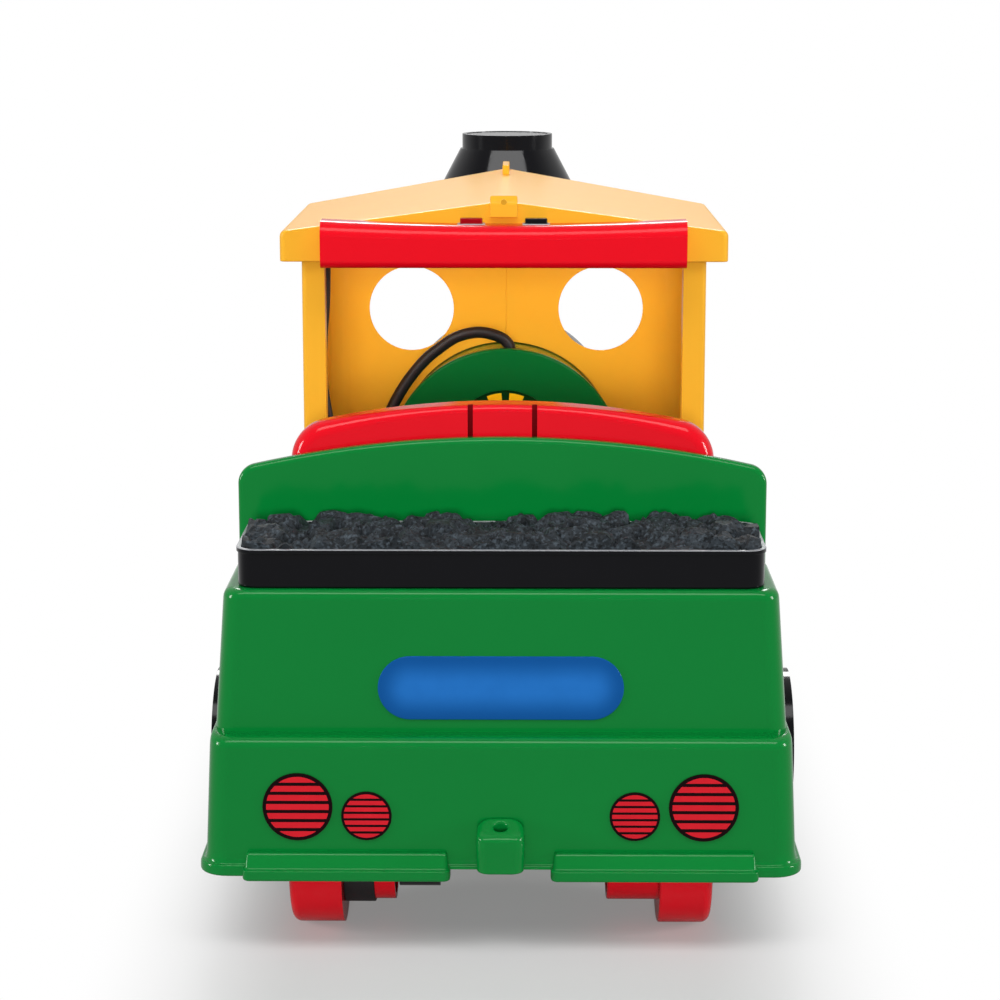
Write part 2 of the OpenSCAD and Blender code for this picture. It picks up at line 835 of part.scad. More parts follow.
// Cab in two halves that meet at the middle of the front wall
module cab_plan(inset, front_r, rear_r) {
  w = cab_w - 2 * inset;
  l = cab_len - 2 * inset;
  translate([0, (cab_y0 + cab_y1) / 2]) union() {
    translate([-w / 2 + rear_r, -l / 2]) square([w - 2 * rear_r, l - front_r]);
    translate([-w / 2, -l / 2 + rear_r]) square([w, l - front_r - rear_r]);
    translate([-w / 2 + front_r, -l / 2 + rear_r]) square([w - 2 * front_r, l - rear_r]);
    for (sx = [-1, 1]) {
      translate([sx * (w / 2 - front_r), l / 2 - front_r]) circle(front_r);
      translate([sx * (w / 2 - rear_r), -l / 2 + rear_r]) circle(rear_r);
    }
  }
}

module cab_inside() difference() {
  cab_plan(wall, cab_corner_r - wall, post_corner_r);
  translate([-cab_w / 2, cab_y0]) square([cab_w, post_d]);
}

module window_frame(side) {
  translate([side * (cab_w / 2 - frame_t), (cab_y0 + cab_y1) / 2, frame_z]) rotate([90, 0, side * 90])
    linear_extrude(2 * frame_t) difference() {
      round_rect(frame_w, frame_h, frame_r);
      round_rect(frame_w - 2 * frame_bar, frame_h - 2 * frame_bar, frame_r / 2);
    }
}

module cab_half(side) color("gold") difference() {
  union() {
    intersection() {
      translate([0, 0, deck_z]) linear_extrude(ridge_front_z - deck_z) difference() {
        cab_plan(0, cab_corner_r, post_corner_r);
        cab_inside();
        translate([-cab_w / 2 + post_w, cab_y0 - overrun])
          square([cab_w - 2 * post_w, post_d + 2 * overrun]);
      }
      gable_block(roof_wall, deck_z - overrun, roof_wall + part_gap);
    }
    window_frame(side);
  }
  translate([side > 0 ? -cab_w : 0, cab_y0 - overrun, deck_z - overrun])
    cube([cab_w, cab_len + 2 * overrun, ridge_front_z]);
  bar_y(side * window_pitch / 2, cab_y1 - 2 * wall, cab_y1 + overrun, window_z, window_r);
  bar_y(0, cab_y1 - 2 * wall, cab_y1 + overrun, boiler_z, boiler_r + boiler_cut_gap);
}

module cab_left() cab_half(-1);
module cab_right() cab_half(1);

// Handle bar at the rear of the roof, with two push buttons on its top
module bar_outline(inset) {
  d = bar_d - inset;
  top = bar_h - inset;
  top_r = bar_top_r - inset;
  low_r = bar_low_r - inset;
  translate([-d + top_r, inset]) square([d - top_r, top - inset]);
  translate([-d, inset + low_r]) square([d, top - inset - low_r - top_r]);
  translate([-d + low_r, inset]) square([d - low_r, low_r]);
  translate([-d + top_r, top - top_r]) circle(top_r);
  translate([-d + low_r, inset + low_r]) circle(low_r);
}

module bar_block(half, inset) {
  translate([-half, roof_y0, bar_z0]) rotate([90, 0, 90]) linear_extrude(2 * half) bar_outline(inset);
}

module button_block(side, grow, z0, z1) {
  translate([side * button_pitch / 2, button_y, z0]) linear_extrude(z1 - z0)
    round_rect(button_w + 2 * grow, button_len + 2 * grow, button_r + grow);
}

module handle_bar() color("red") difference() {
  union() {
    difference() {
      bar_block(bar_w / 2, 0);
      translate([0, part_gap, 0]) bar_block(bar_w / 2 - bar_wall, bar_wall);
    }
    for (side = [-1, 1])
      translate([side * (board_w / 2 - board_post) - board_post / 2, button_y - board_post / 2,
        bar_z0 + bar_wall / 2])
        cube([board_post, board_post, board_low_z - bar_z0 - bar_wall / 2]);
  }
  for (side = [-1, 1]) button_block(side, button_gap, bar_top_z - 2 * bar_wall, bar_top_z + overrun);
}

button_stem = bar_wall + part_gap + button_flange;
button_top_z = bar_top_z + bezel_t + button_rise;
button_low_z = bar_top_z - button_stem;
board_low_z = button_low_z - button_travel - part_gap - switch_h - board_t;

module button_bezels() color("silver") for (side = [-1, 1]) difference() {
  translate([side * button_pitch / 2, button_y, bar_top_z]) linear_extrude(bezel_t)
    round_rect(bezel_w, bezel_len, bezel_r);
  button_block(side, button_gap, bar_top_z - overrun, bar_top_z + bezel_t + overrun);
}

module push_button(side) {
  button_block(side, 0, button_low_z, button_top_z);
  button_block(side, button_flange_out, button_low_z, button_low_z + button_flange);
}

module drive_button() color("firebrick") push_button(-1);
module horn_button() color("black") push_button(1);

module button_board() color("darkgreen") {
  translate([-board_w / 2, button_y - board_len / 2, board_low_z]) cube([board_w, board_len, board_t]);
  for (side = [-1, 1])
    translate([side * button_pitch / 2 - switch_w / 2, button_y - switch_w / 2, board_low_z + board_t])
      cube([switch_w, switch_w, switch_h]);
}

// Boiler
module backhead() color("darkgreen") difference() {
  turned_y(backhead_y, boiler_z) {
    square([backhead_r - backhead_edge_r, backhead_t]);
    translate([0, backhead_edge_r]) square([backhead_r, backhead_t - backhead_edge_r]);
    translate([backhead_r - backhead_edge_r, backhead_edge_r]) circle(backhead_edge_r);
  }
  bar_y(0, backhead_y - overrun, backhead_y + gauge_recess, boiler_z + gauge_rise, gauge_r);
}

module gauge_face() color("yellow")
  bar_y(0, backhead_y + gauge_recess - gauge_t, backhead_y + gauge_recess, boiler_z + gauge_rise,
    gauge_r - gauge_gap);

module boiler_barrel() color("forestgreen") difference() {
  bar_y(0, barrel_y0, smokebox_y0 + spigot_len, boiler_z, boiler_r);
  bar_y(0, barrel_y0 - overrun, smokebox_y0 + spigot_len + overrun, boiler_z, boiler_r - wall);
  translate([lead_route[0][0], lead_route[0][1], boiler_z])
    cylinder(r = lead_r + lead_room, h = 2 * boiler_r);
}

module boiler_bands() color("gold")
  for (y = [cab_y1 + band_from_cab, smokebox_y0 - band_w - part_gap]) difference() {
    bar_y(0, y, y + band_w, boiler_z, boiler_r + seat_fit + band_t);
    bar_y(0, y - overrun, y + band_w + overrun, boiler_z, boiler_r + seat_fit);
  }

module smokebox() color("#1a1c20") difference() {
  bar_y(0, smokebox_y0, smokebox_y1, boiler_z, smokebox_r);
  bar_y(0, smokebox_y0 - overrun, smokebox_y1 - wall, boiler_z, boiler_r + seat_fit);
}

// A shallow dome whose rim is r wide and whose middle stands rise high
module dome_outline(r, rise, rim) {
  big_r = (r * r + rise * rise) / (2 * rise);
  square([r, rim]);
  intersection() {
    translate([0, rim + rise - big_r]) circle(big_r, $fn = fine_fn);
    square([r, rim + rise]);
  }
}

module smokebox_door() color("#1a1c20")
  turned_y(smokebox_y1, boiler_z) dome_outline(door_r, door_rise, door_rim);

lamp_y0 = smokebox_y1 + door_rim + door_rise;

module headlamp_ring() color("gold") difference() {
  bar_y(0, lamp_y0 - door_rise / 2, lamp_y0 + lamp_len, boiler_z, lamp_r);
  bar_y(0, lamp_y0 + lamp_len - lens_rise - lens_t, lamp_y0 + lamp_len + overrun, boiler_z,
    lamp_r - lamp_wall);
  turned_y(smokebox_y1, boiler_z) dome_outline(door_r + seat_fit, door_rise + seat_fit, door_rim);
}

module headlamp_lens() color("lightyellow")
  turned_y(lamp_y0 + lamp_len - lens_rise - lens_t, boiler_z)
    dome_outline(lamp_r - lamp_wall - seat_fit, lens_rise, lens_t);

// Diamond chimney, turned from one outline with an even wall
function chimney_outline(inset, low_z) = [
  [chimney_foot_r - inset, low_z],
  [chimney_foot_r - inset, chimney_foot_z],
  [chimney_neck_r - inset, chimney_foot_z + chimney_foot_h],
  [chimney_neck_r - inset, chimney_band_z - chimney_band_h - flare_h],
  [chimney_wide_r - inset, chimney_band_z - chimney_band_h],
  [chimney_wide_r - inset, chimney_band_z],
  [chimney_top_r + collar_step - inset, chimney_cone_z],
  [chimney_top_r - inset, chimney_cone_z]
];

module turned_shape(outline, top_z) {
  last = outline[len(outline) - 1];
  rotate_extrude() polygon(concat(outline, [[last[0], top_z], [0, top_z], [0, outline[0][1]]]));
}

module chimney() color("#1a1c20") difference() {
  translate([0, chimney_y, 0]) turned_shape(chimney_outline(0, boiler_z + smokebox_r / 2), chimney_top_z);
  translate([0, chimney_y, 0])
    turned_shape(chimney_outline(chimney_wall, boiler_z + smokebox_r / 2 - overrun),
      chimney_top_z - cap_dip - cap_t);
  translate([0, chimney_y, chimney_top_z - cap_dip - cap_t - overrun])
    cylinder(r = chimney_top_r - cap_rim, h = cap_dip + cap_t + 2 * overrun);
  bar_y(0, smokebox_y0 - overrun, smokebox_y1 + overrun, boiler_z, smokebox_r + seat_fit);
}

module chimney_cap() color("#1a1c20") translate([0, chimney_y, chimney_top_z - cap_dip - cap_t])
  cylinder(r = chimney_top_r - cap_rim - seat_fit, h = cap_t);

module steam_dome() color("gold") difference() {
  foot_z = boiler_z + boiler_r;
  translate([0, dome_y, 0]) union() {
    turned_shape([[dome_r + dome_flare, boiler_z + boiler_r / 2],
      [dome_r + dome_flare, foot_z - dome_flare / 2], [dome_r, foot_z + dome_flare]], foot_z + dome_h);
    translate([0, 0, foot_z + dome_h]) rotate_extrude() intersection() {
      circle(dome_r);
      square([dome_r, dome_r]);
    }
  }
  bar_y(0, barrel_y0, smokebox_y0, boiler_z, boiler_r + seat_fit);
}

module boiler_saddle() color("#1a1c20") difference() {
  round_block(saddle_w, saddle_len, saddle_corner_r, smokebox_y1 - smokebox_len / 2, deck_z,
    boiler_z - boiler_r / 2);
  bar_y(0, smokebox_y0 - overrun, smokebox_y1 + overrun, boiler_z, smokebox_r + seat_fit);
}

// Lead: a smooth curve through the route's points, swept as one tube
function spline(p0, p1, p2, p3, t) = 0.5 * (2 * p1 + (p2 - p0) * t + (2 * p0 - 5 * p1 + 4 * p2 - p3) * t * t
  + (3 * p1 - p0 - 3 * p2 + p3) * t * t * t);
lead_last = len(lead_route) - 1;
lead_points = concat([for (i = [0:lead_last - 1], s = [0:lead_steps - 1])
  spline(lead_route[max(i - 1, 0)], lead_route[i], lead_route[i + 1], lead_route[min(i + 2, lead_last)],
    s / lead_steps)], [lead_route[lead_last]]);
lead_count = len(lead_points);
lead_up = [0.35, 0.9, 0.26];
function unit(v) = v / norm(v);
function lead_run(i) = unit(lead_points[min(i + 1, lead_count - 1)] - lead_points[max(i - 1, 0)]);

module roof_lead() color("black") {
  rings = [for (i = [0:lead_count - 1]) let (
      run = i == 0 || i == lead_count - 1 ? [0, 0, 1] : lead_run(i),
      side = unit(cross(run, lead_up)),
      up = cross(side, run))
    each [for (k = [0:lead_sides - 1]) let (a = 360 * k / lead_sides)
      lead_points[i] + lead_r * (cos(a) * side + sin(a) * up)]];
  walls = [for (i = [0:lead_count - 2], k = [0:lead_sides - 1]) let (
      a = i * lead_sides + k,
      b = i * lead_sides + (k + 1) % lead_sides)
    each [[a, b, b + lead_sides], [a, b + lead_sides, a + lead_sides]]];
  ends = [[for (k = [lead_sides - 1:-1:0]) k],
    [for (k = [0:lead_sides - 1]) (lead_count - 1) * lead_sides + k]];
  polyhedron(rings, concat(walls, ends));
}

module lead_grommet() color("black") difference() {
  translate([lead_route[0][0], lead_route[0][1], boiler_z])
    cylinder(r = grommet_r, h = boiler_r + grommet_h);
  translate([lead_route[0][0], lead_route[0][1], boiler_z - overrun])
    cylinder(r = lead_r + lead_room, h = boiler_r + grommet_h + 2 * overrun);
  bar_y(0, barrel_y0, smokebox_y0, boiler_z, boiler_r + seat_fit, $fn = fine_fn);
}

module lead_socket() color("black") {
  end = lead_route[lead_last];
  intersection() {
    translate([end[0] - socket_w / 2, end[1] - lead_r, end[2]]) cube([socket_w, socket_w, 2 * socket_h]);
    gable_block(roof_wall, deck_z, roof_wall + part_gap);
  }
}

// Wheels, turned about X, with a wide tread outside and a narrower step inside
module wheel_outline(hub_end_x) {
  inner_r = wheel_r - tread_t;
  translate([axle_r + bore_gap, hub_end_x]) square([hub_r - axle_r - bore_gap, hub_x - hub_end_x]);
  translate([hub_r - overrun, tread_x]) square([wheel_r - hub_r - tread_t / 2, web_t]);
  translate([inner_r, tread_x]) square([tread_t, tread_w - tread_edge_r]);
  translate([inner_r, tread_x]) square([tread_t - tread_edge_r, tread_w]);
  translate([inner_r + tread_t - tread_edge_r, wheel_face_x - tread_edge_r]) intersection() {
    circle(tread_edge_r);
    translate([tread_edge_r - tread_t, 0]) square([tread_t, tread_edge_r]);
  }
  translate([step_r - step_t, step_x]) square([step_t, step_w + web_t]);
}

module wheel(side, y, hub_end_x) {
  turned_x(side, y, wheel_axis_z) wheel_outline(hub_end_x);
}

// The driven wheel's hub runs on as a hexagon that carries its gear
module rear_wheel_left() color("red") {
  difference() {
    union() {
      wheel(-1, rear_axle_y, step_x);
      translate([-step_x - hub_r, rear_axle_y, wheel_axis_z]) rotate([0, 90, 0])
        cylinder(r = hex_r, h = step_x + hub_r - final_x + gear_t, $fn = 6);
    }
    bar_x(-step_x - 2 * hub_r, 0, rear_axle_y, wheel_axis_z, axle_r + bore_gap);
  }
}

module rear_wheel_right() color("red") wheel(1, rear_axle_y, step_x);
module front_wheel_left() color("red") wheel(-1, front_axle_y, step_x);
module front_wheel_right() color("red") wheel(1, front_axle_y, step_x);

module traction_ring() color("black") turned_x(-1, rear_axle_y, wheel_axis_z)
  translate([step_r, tread_x - ring_w]) square([ring_t, ring_w]);

// Axles and what holds them
module rear_axle() color("silver") bar_x(-axle_half, axle_half, rear_axle_y, wheel_axis_z, axle_r);
module front_axle() color("silver") bar_x(-axle_half, axle_half, front_axle_y, wheel_axis_z, axle_r);

module axle_bracket(x, y) difference() {
  translate([x - bracket_t / 2, y - bracket_len / 2, wheel_axis_z - bracket_drop])
    cube([bracket_t, bracket_len, deck_low_z - wheel_axis_z + bracket_drop]);
  bar_x(x - bracket_t, x + bracket_t, y, wheel_axis_z, axle_r + bore_gap);
}

module rear_axle_brackets() color("#1a1c20")
  for (x = [-case_x0 + bracket_t, bracket_x]) axle_bracket(x, rear_axle_y);

module front_axle_brackets() color("#1a1c20")
  for (x = [-bracket_x, bracket_x]) axle_bracket(x, front_axle_y);

module axle_spacers() color("white") {
  turned_x(-1, rear_axle_y, wheel_axis_z) translate([axle_r + bore_gap, case_x0 + case_wall])
    square([spacer_r - axle_r - bore_gap, final_x - gear_t - part_gap - case_x0 - case_wall]);
  for (p = [[1, rear_axle_y], [-1, front_axle_y], [1, front_axle_y]])
    turned_x(p[0], p[1], wheel_axis_z)
      translate([axle_r + bore_gap, bracket_x + bracket_t / 2])
        square([spacer_r - axle_r - bore_gap, step_x - part_gap - bracket_x - bracket_t / 2]);
}

module axle_caps() color("black")
  for (side = [-1, 1], y = [rear_axle_y, front_axle_y])
    turned_x(side, y, wheel_axis_z) {
      translate([axle_r + bore_gap, hub_x + part_gap])
        square([cap_r - axle_r - bore_gap, cap_len - part_gap + cap_end]);
      translate([0, axle_half]) square([cap_r, cap_end]);
    }

// Gears with straight-sided involute teeth: root, pitch and tip of each flank lie on the involute
function gear_r(teeth) = teeth * gear_module / 2;
function gear_reach(a, b) = gear_r(a) + gear_r(b);
function involute(a) = tan(a) * 180 / PI - a;
function flank_angle(teeth, r) = let (base = gear_r(teeth) * cos(pressure_angle))
  r <= base ? 0 : involute(acos(base / r));
function half_tooth(teeth, r) = 90 / teeth - gear_backlash * 90 / PI / gear_r(teeth)
  + involute(pressure_angle) - flank_angle(teeth, r);
function gear_points(teeth) = let (
    p = gear_r(teeth),
    tip = p + addendum_share * gear_module,
    root = p - dedendum_share * gear_module,
    radii = [root, (root + p) / 2, p, tip])
  [for (i = [0:teeth - 1], k = [0:7]) let (
      r = radii[k < 4 ? k : 7 - k],
      a = 360 * i / teeth + (k < 4 ? -1 : 1) * half_tooth(teeth, r))
    [r * cos(a), r * sin(a)]];

// A gear whose face is at x on the left side and which runs inwards, turned by start degrees
module gear(teeth, y, z, x, t, start) {
  translate([-x, y, z]) rotate([start, 0, 0]) rotate([90, 0, 90])
    linear_extrude(t) polygon(gear_points(teeth));
}

// Turned so that a tooth of the first gear points along angle, and a gap of the second faces it
function toward(angle) = angle;
function gap_toward(teeth, angle) = angle + 180 + 180 / teeth;

final_start = toward(idler_angle);
idler_start = gap_toward(idler_pinion_teeth, idler_angle);
motor_start = gap_toward(motor_teeth, motor_angle);

module final_gear() color("ivory") difference() {
  gear(final_teeth, rear_axle_y, wheel_axis_z, final_x, gear_t, final_start);
  translate([-final_x - overrun, rear_axle_y, wheel_axis_z]) rotate([0, 90, 0])
    cylinder(r = hex_r + hex_gap, h = gear_t + 2 * overrun, $fn = 6);
}

module idler_gear() color("ivory") difference() {
  union() {
    gear(idler_pinion_teeth, idler_y, idler_z, final_x, gear_t + gear_step + overrun, idler_start);
    gear(idler_teeth, idler_y, idler_z, idler_x, gear_t, toward(motor_angle));
  }
  bar_x(-case_x1, 0, idler_y, idler_z, pin_r + bore_gap);
}

module motor_pinion() color("silver") {
  gear(motor_teeth, motor_y, motor_z, idler_x, gear_t, motor_start);
  bar_x(-idler_x + gear_t, -case_x0 + motor_boss_len, motor_y, motor_z, motor_shaft_r);
}

module idler_pin() color("silver")
  bar_x(-case_x1 + case_wall / 2, -case_x0 - case_wall / 2, idler_y, idler_z, pin_r);

// Gearbox: a case that carries the motor, and a cover on the wheel's side
module case_outline(inset) {
  hull() {
    translate([rear_axle_y, wheel_axis_z]) circle(case_r - inset);
    translate([idler_y, idler_z]) circle(case_idler_r - inset);
    translate([motor_y, motor_z]) circle(case_motor_r - inset);
  }
}

module case_slab(x0, x1, inset) {
  translate([-x1, 0, 0]) rotate([90, 0, 90]) linear_extrude(x1 - x0) case_outline(inset);
}

module gearbox_case() color("#1a1c20") difference() {
  union() {
    case_slab(case_x0, case_split_x, 0);
    translate([-case_x0 - case_pad_w, motor_y - case_pad_len / 2, motor_z])
      cube([case_pad_w, case_pad_len, deck_low_z - motor_z]);
  }
  case_slab(case_x0 + case_wall, case_split_x + overrun, case_wall);
  bar_x(-case_x1, 0, rear_axle_y, wheel_axis_z, axle_r + bore_gap);
  bar_x(-case_x0 - case_wall - overrun, -case_x0 - case_wall / 2, idler_y, idler_z, pin_r + bore_gap);
  bar_x(-case_x0 - case_wall - overrun, -case_x0 + overrun, motor_y, motor_z, motor_boss_r + seat_fit);
}

module gearbox_cover() color("#1a1c20") difference() {
  case_slab(case_split_x, case_x1, 0);
  bar_x(-case_x1 - overrun, -case_split_x + overrun, rear_axle_y, wheel_axis_z, hex_r + hub_hole_gap);
  bar_x(-case_split_x - case_wall / 2, -case_split_x + overrun, idler_y, idler_z, pin_r + bore_gap);
}

module gearbox_screws() color("silver")
  for (a = [150, 210, 270, 330])
    bar_x(-case_x1 - case_screw_t, -case_x1, rear_axle_y + (case_r - case_room - case_screw_r) * cos(a),
      wheel_axis_z + (case_r - case_room - case_screw_r) * sin(a), case_screw_r);

module drive_motor() color("silver") difference() {
  union() {
    bar_x(-case_x0, -case_x0 + motor_len, motor_y, motor_z, motor_r);
    bar_x(-case_x0 - case_wall, -case_x0 + overrun, motor_y, motor_z, motor_boss_r);
  }
  bar_x(-case_x0 - 2 * case_wall, -case_x0 + 2 * motor_boss_len, motor_y, motor_z,
    motor_shaft_r + bore_gap);
}

// Half the base's width at a height
function skirt_x(z) = base_w / 2 + base_draft * (deck_z - z) / (deck_z - skirt_z);

// Moulded driving wheels on the sides, with a rod that joins their crank pins
module side_wheel(side, y) {
  turned_x(side, y, cover_z) {
    translate([0, cover_x]) square([cover_r, cover_plate_t]);
    translate([cover_r - cover_rim_w, cover_x]) square([cover_rim_w, cover_t]);
    translate([0, cover_x]) square([cover_hub_r, cover_t]);
    translate([0, cover_boss_x]) square([cover_boss_r, cover_x + overrun - cover_boss_x]);
  }
  for (i = [0:cover_spokes - 1])
    translate([side * cover_x, y, cover_z]) rotate([360 * i / cover_spokes, 0, 0])
      translate([side > 0 ? 0 : -cover_spoke_t, -cover_spoke_w / 2, cover_hub_r - overrun])
        cube([cover_spoke_t, cover_spoke_w, cover_r - cover_rim_w - cover_hub_r + 2 * overrun]);
  bar_side(side, cover_x, cover_x + cover_t + rod_gap, y, cover_z - crank_r, cover_pin_r);
}

// A cylinder along X on one side of the train, from distance x0 to x1 off the middle
module bar_side(side, x0, x1, y, z, r) {
  bar_x(side > 0 ? x0 : -x1, side > 0 ? x1 : -x0, y, z, r);
}

module side_wheels(side) color("#2a2d31")
  for (i = [0:2]) side_wheel(side, cover_y0 + i * cover_pitch);

module side_rod(side) color("silver") {
  z = cover_z - crank_r;
  x = cover_x + cover_t + rod_gap;
  translate([side > 0 ? x : -x - rod_t, cover_y0, z - rod_w / 2]) cube([rod_t, 2 * cover_pitch, rod_w]);
  for (i = [0:2]) bar_side(side, x, x + rod_t, cover_y0 + i * cover_pitch, z, rod_eye_r);
}

module side_wheels_left() side_wheels(-1);
module side_wheels_right() side_wheels(1);
module side_rod_left() side_rod(-1);
module side_rod_right() side_rod(1);

// Buffer beam and pilot
module buffer_beam() color("red")
  translate([0, base_y1 + beam_d, beam_z0 + beam_h / 2]) rotate([90, 0, 0]) linear_extrude(beam_d)
    round_rect(beam_w, beam_h, beam_r);

function pilot_y(x) = front_y
  - (pilot_len - beam_d - pilot_rail - pilot_side_reach) * abs(x) / (pilot_w / 2);

// A leaning slat, drawn from the side and pulled across
module pilot_slat(x) {
  y0 = base_y1 + beam_d;
  y1 = pilot_y(x);
  z0 = pilot_low_z + pilot_rail / 2;
  z1 = beam_z0 + beam_h / 2;
  translate([x - slat_w / 2, 0, 0]) rotate([90, 0, 90]) linear_extrude(slat_w)
    polygon([[y1 - slat_t, z0], [y1, z0], [y0 + slat_t, z1], [y0, z1]]);
}

module pilot_rail() {
  half = pilot_w / 2;
  side_y = pilot_y(half);
  tip_y = pilot_y(0);
  translate([0, 0, pilot_low_z]) linear_extrude(pilot_rail)
    polygon([[-half, side_y], [0, tip_y], [half, side_y], [half, side_y - pilot_rail],
      [0, tip_y - pilot_rail], [-half, side_y - pilot_rail]]);
}

module cowcatcher() color("red") {
  for (i = [0:pilot_slats - 1])
    pilot_slat((i / (pilot_slats - 1) - 1 / 2) * (pilot_w - slat_w));
  pilot_rail();
  translate([-pilot_w / 2, base_y1 + beam_d, beam_z0 + beam_h / 2 - slat_t / 2])
    cube([pilot_w, slat_t, slat_t]);
}

// Tow hook with an upright hole for a trailer's pin
module hook_plan() {
  round_rect(hook_w, hook_reach, hook_r);
  translate([-hook_w / 2, 0]) square([hook_w, hook_reach / 2]);
}

module hook_side() {
  translate([rear_y, hook_z0]) square([hook_reach, hook_h - hook_edge_r]);
  translate([rear_y + hook_edge_r, hook_z0]) square([hook_reach - hook_edge_r, hook_h]);
  translate([rear_y + hook_edge_r, hook_z0 + hook_h - hook_edge_r]) circle(hook_edge_r);
}

module hook_front() {
  half = hook_w / 2 - hook_side_r;
  translate([-hook_w / 2, hook_z0]) square([hook_w, hook_h - hook_side_r]);
  translate([-half, hook_z0]) square([2 * half, hook_h]);
  for (side = [-1, 1]) translate([side * half, hook_z0 + hook_h - hook_side_r]) circle(hook_side_r);
}

// A block that is round in plan, from the side and from behind
module tow_hook() color("forestgreen") difference() {
  intersection() {
    translate([0, (rear_y + base_y0) / 2, hook_z0]) linear_extrude(hook_h) hook_plan();
    translate([-hook_w / 2, 0, 0]) rotate([90, 0, 90]) linear_extrude(hook_w) hook_side();
    translate([0, base_y0, 0]) rotate([90, 0, 0]) linear_extrude(hook_reach) hook_front();
  }
  translate([0, rear_y + tow_in, hook_z0 - overrun]) cylinder(r = tow_r, h = hook_h + 2 * overrun);
}

// Round reflectors on the rear wall
module tail_reflectors() color("firebrick") for (side = [-1, 1]) {
  bar_y(side * big_reflector_x, base_y0 - reflector_t, base_y0, big_reflector_z, big_reflector_r);
  bar_y(side * small_reflector_x, base_y0 - reflector_t, base_y0, small_reflector_z, small_reflector_r);
}

// Bare oval plate on the tender's rear wall
module badge_plate() color("royalblue")
  translate([0, tender_y0, badge_z]) rotate([90, 0, 0]) linear_extrude(badge_t)
    round_rect(badge_w, badge_h, badge_h / 2 - seat_fit);

base_body();
tender_body();
seat_panel();
coal_tray();
coal_load();
seat();
seat_box();
battery();
cab_left();
cab_right();
roof();
lug_screw();
handle_bar();
button_bezels();
drive_button();
horn_button();
button_board();
backhead();
gauge_face();
boiler_barrel();
boiler_bands();
smokebox();
smokebox_door();
headlamp_ring();
headlamp_lens();
chimney();
chimney_cap();
steam_dome();
boiler_saddle();
lead_grommet();
lead_socket();
roof_lead();
rear_axle();
front_axle();
rear_axle_brackets();
front_axle_brackets();
rear_wheel_left();
traction_ring();
final_gear();
rear_wheel_right();
front_wheel_left();
front_wheel_right();
axle_spacers();
axle_caps();
gearbox_case();
gearbox_cover();
gearbox_screws();
drive_motor();
motor_pinion();
idler_gear();
idler_pin();
side_wheels_left();
side_wheels_right();
side_rod_left();
side_rod_right();
buffer_beam();
cowcatcher();
tow_hook();
tail_reflectors();
badge_plate();
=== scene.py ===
"""Looks of a child's ride-on steam train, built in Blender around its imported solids.

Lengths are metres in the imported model's frame: +Y is the way that the train runs, +X is the rider's
right, +Z is up, and the origin lies on the floor under the middle of the train.
"""
import json
from math import pi, radians

import bmesh
import bpy
import numpy as np
from bpy.props import FloatProperty, FloatVectorProperty, IntProperty, PointerProperty
from bpy.types import Operator, Panel, PropertyGroup
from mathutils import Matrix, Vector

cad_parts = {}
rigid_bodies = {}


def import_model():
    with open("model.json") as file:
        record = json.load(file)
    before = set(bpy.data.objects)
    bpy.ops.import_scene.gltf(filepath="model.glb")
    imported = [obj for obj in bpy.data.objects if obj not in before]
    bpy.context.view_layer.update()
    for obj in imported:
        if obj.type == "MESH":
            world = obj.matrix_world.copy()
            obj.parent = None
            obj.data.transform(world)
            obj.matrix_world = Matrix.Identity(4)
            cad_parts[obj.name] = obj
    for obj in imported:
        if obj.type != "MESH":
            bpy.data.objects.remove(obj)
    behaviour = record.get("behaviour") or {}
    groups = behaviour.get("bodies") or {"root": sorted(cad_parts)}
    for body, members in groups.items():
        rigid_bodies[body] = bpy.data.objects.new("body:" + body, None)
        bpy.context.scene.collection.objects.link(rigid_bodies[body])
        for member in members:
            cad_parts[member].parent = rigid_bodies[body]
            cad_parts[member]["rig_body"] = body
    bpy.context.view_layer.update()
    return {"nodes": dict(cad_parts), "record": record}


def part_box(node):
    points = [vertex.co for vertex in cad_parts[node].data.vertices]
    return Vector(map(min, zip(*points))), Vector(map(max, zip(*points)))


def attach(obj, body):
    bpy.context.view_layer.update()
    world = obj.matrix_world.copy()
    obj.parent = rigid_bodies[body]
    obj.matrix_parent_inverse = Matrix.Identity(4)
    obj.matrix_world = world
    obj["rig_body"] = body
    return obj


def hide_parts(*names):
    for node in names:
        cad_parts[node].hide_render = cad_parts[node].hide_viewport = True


bl_info = {
    "name": "Ride-on train",
    "version": (1, 0, 0),
    "blender": (4, 5, 0),
    "location": "View3D > Sidebar > Train",
    "description": "Dresses the packed solids of a ride-on train",
    "category": "Object",
}

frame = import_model()
SAME_POINT = 1e-6  # points this close are one
FLAT = radians(0.6)  # faces that meet at less are one
SLOTS = {part["node"]: part["material_slot"] for part in frame["record"]["subparts"]}


def number(name, description, default, **more):
    """A property for a number."""
    return FloatProperty(name=name, description=description, default=default, **more)


def length(name, description, default):
    """A property for a length in metres."""
    return number(name, description, default, unit="LENGTH", precision=4)


def power(name, description, default):
    """A property for a lamp's power in watts."""
    return number(name, description, default, unit="POWER")


def linear(*levels):
    """Screen levels from 0 to 255 as linear colour: the usual power curve with its straight foot."""
    share = np.array(levels) / 255
    return tuple(np.where(share <= 0.04045, share / 12.92, ((share + 0.055) / 1.055) ** 2.4).tolist())


def colour(name, description, *levels):
    """A property for a colour, given in screen levels."""
    return FloatVectorProperty(name=name, description=description, default=linear(*levels), subtype="COLOR",
                               min=0, max=1)


